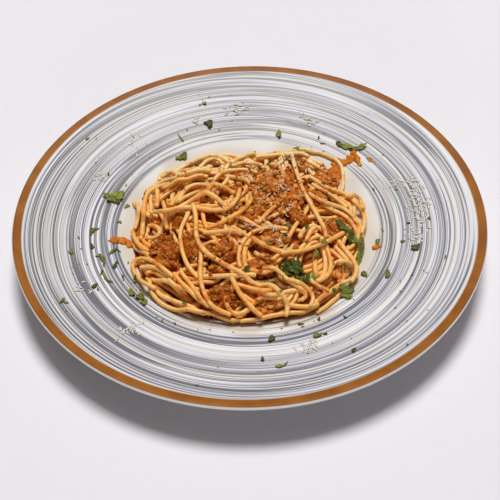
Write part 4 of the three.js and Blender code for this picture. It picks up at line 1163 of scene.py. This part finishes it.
# Small pieces of chopped parsley: ragged flakes, two rings of points about a middle one above and the same
# below
def makeFlakes(name, flakes, seed):
    draw = np.random.default_rng(seed)
    x, y, long, wide, turn = np.asarray(flakes, float).T[:, :, None]
    count, corners = len(x), 16
    a = np.linspace(0, 2 * np.pi, corners, endpoint=False)
    ragged = draw.uniform(0.75, 1.1, (count, corners))
    ragged = ragged * (1 + 0.2 * np.cos(3 * a + draw.uniform(0, 6, (count, 1))))
    rings = []
    t = np.radians(turn)
    curve, cup = draw.normal(0, 0.09, (count, 1)), draw.uniform(-0.05, 0.2, (count, 1))
    for s in (0.55, 1.0):
        u, v = s * ragged * np.cos(a) * long / 2, s * ragged * np.sin(a) * wide / 2
        v = v + curve * u**2 / long * 2
        px, py = x + u * np.cos(t) - v * np.sin(t), y + u * np.sin(t) + v * np.cos(t)
        low = heightUnder(px, py, 0.3)
        twist = 0.12 * wide * np.sin(2 * a + draw.uniform(0, 6, (count, 1))) * s
        lift = cup * (np.hypot(u, v) ** 2) / long + twist
        z = 0.5 * low + 0.5 * low.max(1, keepdims=True) + 0.15 + 0.12 * wide + lift
        rings.append(np.stack([px, py, np.maximum(z, plateTop(np.hypot(px, py)) + 0.03)], -1))
    inner, outer = rings
    middle = inner.mean(1, keepdims=True)
    thick = np.array([0, 0, 0.2])
    points = np.concatenate([inner + thick, outer + thick, outer, inner, middle + thick, middle], 1)
    quads, fans = ringFaces(4, corners)
    each = (np.arange(count) * points.shape[1])[:, None, None]
    tint = np.repeat(draw.uniform(-0.12, 0.5, count), points.shape[1])
    quads, fans = (quads[None] + each).reshape(-1, 4), (fans[None] + each).reshape(-1, 3)
    addPiece(name, points.reshape(-1, 3), quads, fans, leafMaterial, (), {"tint": tint})


# Chopped parsley on the rim and on the food: x, y, length, width and turn in degrees
rimFlakes = [
    (34, -83, 5.2, 4, 28), (38.5, -82, 3, 1.4, 20), (94, -23, 6.5, 4.3, 42), (10, -84, 4.8, 3.6, 72),
    (20, 79, 6.4, 3.8, 81), (-81, -38, 7, 1.6, 115), (-79, -41, 6, 1.6, 150), (-83, -35, 4.5, 1.3, 80),
    (-24, 89, 6.6, 5, 125), (-84, -24, 6, 2.6, 119), (-82.5, -27, 7, 1.6, 92), (-86, -22, 4, 1.6, 20),
    (76, -41, 7, 2.8, 81), (-91, -3, 6, 3, 71), (-89, -1, 4, 1.4, 10), (73, -15, 5, 2.8, 77),
    (-76, -29, 6.5, 2.4, 71), (-78, -18, 6.8, 2, 53), (-75, -17, 3.5, 0.8, -30), (-90, -15, 4.8, 2.2, 105),
    (-42, 77, 8.5, 1.1, 119), (-101, -61, 5, 1.8, 67), (-99, -62, 3, 1.2, 10), (63, -39, 5, 3.4, 109),
    (-101, -21, 5, 2.6, 91), (14, -105, 6, 1.8, 10), (17, -103, 3, 0.8, 50), (5, -99, 3.2, 2, 94),
    (-27, 105, 3.6, 2, 5), (-86, -46, 4.2, 2.4, 53), (-84, -48, 3, 1, 100), (-85, 44, 3, 1.4, 97),
    (52, -97, 3.4, 2.2, 61), (26, -74, 3.8, 1.4, 10), (-71, -38, 4.8, 1.2, 108), (87, -17, 3, 1.6, 1),
    (36, -71, 2.6, 1.8, 90), (-76, 6, 3, 1.9, 166), (-99, 69, 3, 1.6, 36), (104, -2, 2.8, 1.4, 110),
    (45, 74, 3.2, 1.2, 75), (-48, -70, 2.4, 1.2, 86), (92, -3, 2.6, 1.1, 177), (75, 27, 2.6, 0.9, 100),
    (77, -6, 3.2, 1.1, 101), (50, -71, 2.8, 1.2, 128), (47, 69, 3.4, 0.8, 166), (-98, -9, 2.4, 1.1, 112),
    (-28, -119, 2.4, 0.6, 2), (89, -44, 1.6, 1, 147), (27, -76, 2, 0.6, 175), (-38, 84, 1.6, 1, 90),
    (-69, -26, 2.2, 0.8, 73), (79, -98, 1.5, 0.9, 57), (88, 25, 2, 0.6, 171), (-30, 104, 1.6, 0.9, 53),
    (-41, -72, 2.2, 1, 109), (-74, 36, 1.8, 0.9, 64), (108, -35, 3, 0.8, 70), (-72.5, 19, 4.2, 1.8, 45),
    (82, -47, 2.4, 0.7, 83), (47, 61, 2.6, 1.6, 135),
]
foodFlakes = [
    (22, -15, 4.5, 3, 10), (32, -17, 3.5, 2.4, 70), (19, -25, 4.2, 3, 120), (11, -31, 3.6, 2.2, 30),
    (36.5, -33, 6.5, 2.6, 65), (34.5, -48.5, 4.6, 3.2, 110), (8, 13, 4, 2.6, 0), (13, 41, 5, 2.4, 20),
    (30, 60, 5, 2.6, 10), (-2, -47, 5.2, 2.6, 40), (-64, -40, 3.4, 2, 80), (-53, -21, 3.2, 1.6, 20),
    (41, -28, 4.4, 2.4, 140), (52, -40, 3, 1.8, 80), (26, -30, 3, 2, 0), (-62, 21, 3.4, 1.6, 60),
    (45, -55, 3.2, 1.8, 20), (-36, -62, 3.2, 1.4, 150), (16, -61, 2.6, 1.2, 40), (-56, 8, 2.4, 1.2, 90),
]


# Random specks between two shares of the way out, as rows of the same kind
def scatterSpecks(count, near, far, size, seed):
    draw = np.random.default_rng(seed)
    angle, r = draw.uniform(0, 2 * np.pi, count), near + (far - near) * draw.uniform(0, 1, count) ** 1.3
    long = draw.uniform(*size, count)
    wide, turn = long * draw.uniform(0.35, 0.8, count), draw.uniform(0, 180, count)
    return np.column_stack([r * np.cos(angle), r * np.sin(angle), long, wide, turn])


makeFlakes("parsleyOnRim", np.concatenate([rimFlakes, scatterSpecks(70, 77, 120, (0.5, 1.2), 91)]), 92)
specks = scatterSpecks(80, 5, 66, (0.6, 1.7), 93)
specks = specks[share(specks[:, 0], specks[:, 1]) < 0.93]
makeFlakes("parsleyOnPasta", np.concatenate([foodFlakes, specks]), 94)


# Grated cheese: bent four-sided shreds that taper to both ends
def makeShreds(name, x, y, long, onFood, seed, thick, wide):
    draw = np.random.default_rng(seed)
    count, knots = len(x), 6
    t = np.linspace(-0.5, 0.5, knots)
    heading = draw.uniform(0, 2 * np.pi, (count, 1)) + draw.normal(0, 0.9, (count, 1)) * t
    u = np.cumsum(np.cos(heading), 1) * long[:, None] / knots
    v = np.cumsum(np.sin(heading), 1) * long[:, None] / knots
    px, py = x[:, None] + u - u.mean(1, keepdims=True), y[:, None] + v - v.mean(1, keepdims=True)
    low = heightUnder(px, py, 0.3) if onFood else plateTop(np.hypot(px, py))
    base = 0.35 * low + 0.65 * low.max(1, keepdims=True)
    lift = draw.uniform(0, 0.9, (count, 1)) * (t * 2) ** 2 * (0.25 if onFood else 0.08)
    axis = np.stack([px, py, np.maximum(base + thick + lift, plateTop(np.hypot(px, py)) + thick)], -1)
    ahead = np.gradient(axis, axis=1)
    ahead /= np.linalg.norm(ahead, axis=-1, keepdims=True)
    across = np.cross(ahead, (0, 0, 1.0))
    across /= np.linalg.norm(across, axis=-1, keepdims=True)
    up = np.cross(across, ahead)
    slim = thick * draw.uniform(0.7, 1.4, (count, 1, 1)) * (1 - 0.7 * np.abs(2 * t)[None, :, None] ** 3)
    corners = [across * slim * wide, up * slim, -across * slim * wide, -up * slim]
    points = np.stack([axis + c for c in corners], 2).reshape(-1, 3)
    last = knots * 4 - 1
    quads = np.concatenate([ringFaces(knots, 4)[0], [(0, 1, 2, 3), (last, last - 1, last - 2, last - 3)]])
    index = quads[None] + (np.arange(count) * knots * 4)[:, None, None]
    tint = np.repeat(draw.uniform(0, 0.7, count) if onFood else draw.uniform(0.85, 1, count), knots * 4)
    addPiece(name, points, index.reshape(-1, 4), [], cheeseMaterial, (), {"tint": tint})


def makeCheeseMaterial():
    material, tree, shader = newMaterial("gratedCheese")
    colour = blendColours(tree, attribute(tree, "tint"), tone(236, 186, 122), tone(246, 240, 226))
    tree.links.new(colour, shader.inputs["Base Color"])
    rough = between(tree, speckle(tree, objectPlace(tree), 700.0), 0.2, 0.9)
    tree.links.new(rough, shader.inputs["Roughness"])
    setShader(shader, Specular_IOR_Level=0.2, Subsurface_Weight=0.3, Subsurface_Scale=0.001)
    setShader(shader, Subsurface_Radius=(1.0, 0.8, 0.5))
    return material


cheeseMaterial = makeCheeseMaterial()

# Drifts of shreds on the food, as x, y, spread and how many
foodDrifts = [
    (20, 0.3, 4, 12), (20.2, 12.3, 3.5, 9), (15.9, 28.7, 2, 4), (-1.2, 26.1, 3.5, 9), (23.4, 44.2, 4, 9),
    (33, 39.7, 3, 6), (17.3, -10.6, 3.5, 9), (12.3, -17.9, 4, 10), (0.1, -16.1, 3, 6), (-1.5, -12.5, 2, 4),
    (19.4, -29.3, 4.5, 10), (-4.5, -27.6, 2.5, 4), (11.3, 4.4, 5, 8), (0, 10, 40, 26), (5, 38, 9, 14),
    (-30, 42, 10, 6),
]
# On the rim, as direction in degrees, distance from the middle, how far they spread round and outwards, and
# how many
rimDrifts = [
    (4, 100, 12, 7, 54), (14, 101, 9, 6, 24), (19, 95, 3, 9, 20), (67, 97, 7, 4, 24), (93, 101, 10, 5, 24),
    (110, 98, 2, 3, 7), (155, 98, 5, 4, 16), (230, 101, 4, 9, 20), (288, 95, 7, 4, 18), (353, 97, 7, 6, 20),
    (208, 104, 6, 6, 8), (135, 100, 14, 8, 9),
]


def drift(groups, seed):
    draw = np.random.default_rng(seed)
    rows = []
    for x, y, spread, n in groups:
        rows.append(np.column_stack([draw.normal(x, spread * 0.6, n), draw.normal(y, spread * 0.6, n)]))
    return np.concatenate(rows)


def rimDrift(groups, seed):
    draw = np.random.default_rng(seed)
    rows = []
    for degrees, r, around, out, n in groups:
        angle = math.radians(degrees) + draw.normal(0, around * 0.5, n) / r
        far = draw.normal(r, out * 0.5, n)
        rows.append(np.column_stack([far * np.cos(angle), far * np.sin(angle)]))
    return np.concatenate(rows)


place = drift(foodDrifts, 101)
place = place[share(place[:, 0], place[:, 1]) < 0.95]
lengths = random.uniform(1.8, 5, len(place))
makeShreds("cheeseOnPasta", place[:, 0], place[:, 1], lengths, True, 102, 0.13, 3.4)
place = rimDrift(rimDrifts, 103)
lengths = random.uniform(1.8, 5, len(place))
makeShreds("cheeseOnRim", place[:, 0], place[:, 1], lengths, False, 104, 0.09, 6.0)

# Dabs of sauce beside the pasta, each a few overlapping drops: x, y, length, width, turn in degrees and
# height
dabs = dict(
    sauce_dab_left=[
        (-77.2, -8.9, 8.4, 5.8, 6, 1.3), (-72.6, -8.8, 8.4, 5.8, -10, 1.5), (-69.4, -11.2, 6, 4.8, -50, 1.2),
        (-75, -8.4, 9, 4.6, 0, 1.5),
    ],
    sauce_dab_right=[(71.6, -19, 4.6, 3.8, 20, 1.5), (74.2, -18.2, 3, 2.6, 40, 0.9)],
    sauce_dab_back=[
        (62.6, 52.8, 6, 4.4, 20, 1.4), (67, 54, 7.5, 5, 100, 1.6), (68.5, 49, 5, 3, 110, 0.8),
        (63.5, 55.5, 6, 3.6, -10, 1.4), (65.5, 59, 5, 4, 70, 1.2),
    ],
)
# A pool beside the pasta and a spot of sauce, which stand for no node
loosePatches = dict(
    sauce_pool=[
        (58.6, 51.4, 8, 6, 20, 1.2), (55.4, 51.5, 9, 8.5, 70, 1.3), (54, 45.5, 11, 9.5, 85, 1.5),
        (52, 39, 10, 8.5, 80, 1.6),
    ],
    sauce_spot=[(75.2, 52, 4.6, 3.4, 100, 0.6), (77.5, 49.5, 2, 1.4, 30, 0.3)],
)
dabTones = tone(168, 82, 4), tone(206, 118, 12), tone(234, 156, 48)
dabMaterial = makeSauceMaterial("sauceDab", *dabTones, 0.0)
dabCell = 0.22


# A dab is a relief on a fine grid: the highest of its drops, each a low dome (1 - s^2)^0.6 with a ragged
# outline
def makeDab(name, drops, replaced, seed):
    drops = np.array(drops, float)
    low, high = drops[:, :2].min(0) - 5, drops[:, :2].max(0) + 5
    x, y = np.meshgrid(np.arange(low[0], high[0], dabCell), np.arange(low[1], high[1], dabCell))
    rise = np.full(x.shape, -0.5)
    ragged = 0.09 * waves(x, y, 3.2, seed) + 0.04 * waves(x, y, 1.1, seed + 1)
    for cx, cy, long, wide, turn, tall in drops:
        t = math.radians(turn)
        u = ((x - cx) * math.cos(t) + (y - cy) * math.sin(t)) / long * 2
        v = (-(x - cx) * math.sin(t) + (y - cy) * math.cos(t)) / wide * 2
        s = np.hypot(u, v) + ragged
        rise = np.maximum(rise, np.where(s < 1, tall * np.clip(1 - s**2, 0, 1) ** 0.6, -0.5))
    kept = rise > 0
    closeGaps(kept)
    plane = plateTop(np.hypot(x, y))
    rise = np.maximum(rise, 0.1) * (1 + 0.1 * waves(x, y, 1.6, seed + 2))
    tint = 0.35 + 0.2 * waves(x, y, 2, seed)
    addRelief(name, x, y, plane + 0.05 + rise, plane + 0.03, kept, tint, dabMaterial, replaced)


for seed, (name, drops) in enumerate(dabs.items()):
    makeDab(name + "_drop", drops, [name], 110 + seed)
makeDab("sauce_pool", loosePatches["sauce_pool"], (), 125)
makeDab("sauce_spot", loosePatches["sauce_spot"], (), 120)

# The floor and the lights: a soft lamp high up and a little behind, a wide one overhead, a weak one low in
# front that reaches the lip and the far rim, and a dim warm room. A lamp is its name, place and size in
# metres, and power
studio = dict(
    lamps=[
        ("softLamp", (0.25, 1.42, 5.1), 1.85, 246), ("wideLamp", (0, 0.4, 2.6), 2.4, 8),
        ("frontLamp", (0, -3, 0.38), 0.7, 22),
    ],
    room=0.06, roomColour=(1.0, 0.88, 0.84, 1), floor=tone(234, 231, 235),
)


def makeFloor():
    mesh = bpy.data.meshes.new("floor")
    mesh.from_pydata([(-4, -4, 0), (4, -4, 0), (4, 4, 0), (-4, 4, 0)], [], [(0, 1, 2, 3)])
    floor = bpy.data.objects.new("floor", mesh)
    bpy.context.collection.objects.link(floor)
    material, _, shader = newMaterial("paleFloor")
    setShader(shader, Base_Color=studio["floor"], Roughness=0.8, Specular_IOR_Level=0.1)
    mesh.materials.append(material)


def addLamp(name, place, size, power):
    lamp = bpy.data.lights.new(name, "AREA")
    lamp.shape, lamp.size, lamp.energy = "DISK", size, power
    light = bpy.data.objects.new(name, lamp)
    bpy.context.collection.objects.link(light)
    light.location = place
    tilt, turn = math.atan2(math.hypot(place[0], place[1]), place[2]), math.atan2(place[0], -place[1])
    light.rotation_euler = (tilt, 0, turn)


makeFloor()
for name, place, size, power in studio["lamps"]:
    addLamp(name, place, size, power)
world = bpy.data.worlds.new("studio")
world.use_nodes = True
world.node_tree.nodes["Background"].inputs[0].default_value = studio["roomColour"]
world.node_tree.nodes["Background"].inputs[1].default_value = studio["room"]
bpy.context.scene.world = world
bpy.context.scene.view_settings.view_transform = "Standard"


# The camera's axes: right is level, up is back cross right, then both turn by the roll
def makeCamera():
    data = bpy.data.cameras.new("camera")
    data.lens, data.sensor_width, data.clip_start = camera["lens"], 36, 0.01
    view = bpy.data.objects.new("camera", data)
    bpy.context.collection.objects.link(view)
    eye, target = np.array(camera["place"]), np.array(camera["target"])
    back = (eye - target) / np.linalg.norm(eye - target)
    right = np.cross((0, 0, 1.0), back)
    right /= np.linalg.norm(right)
    up = np.cross(back, right)
    roll = math.radians(camera["roll"])
    right, up = math.cos(roll) * right + math.sin(roll) * up, -math.sin(roll) * right + math.cos(roll) * up
    axes = np.eye(4)
    axes[:3, 0], axes[:3, 1], axes[:3, 2], axes[:3, 3] = right, up, back, eye * mm
    view.matrix_world = Matrix(axes.tolist())
    bpy.context.scene.camera = view


makeCamera()
print("ready")
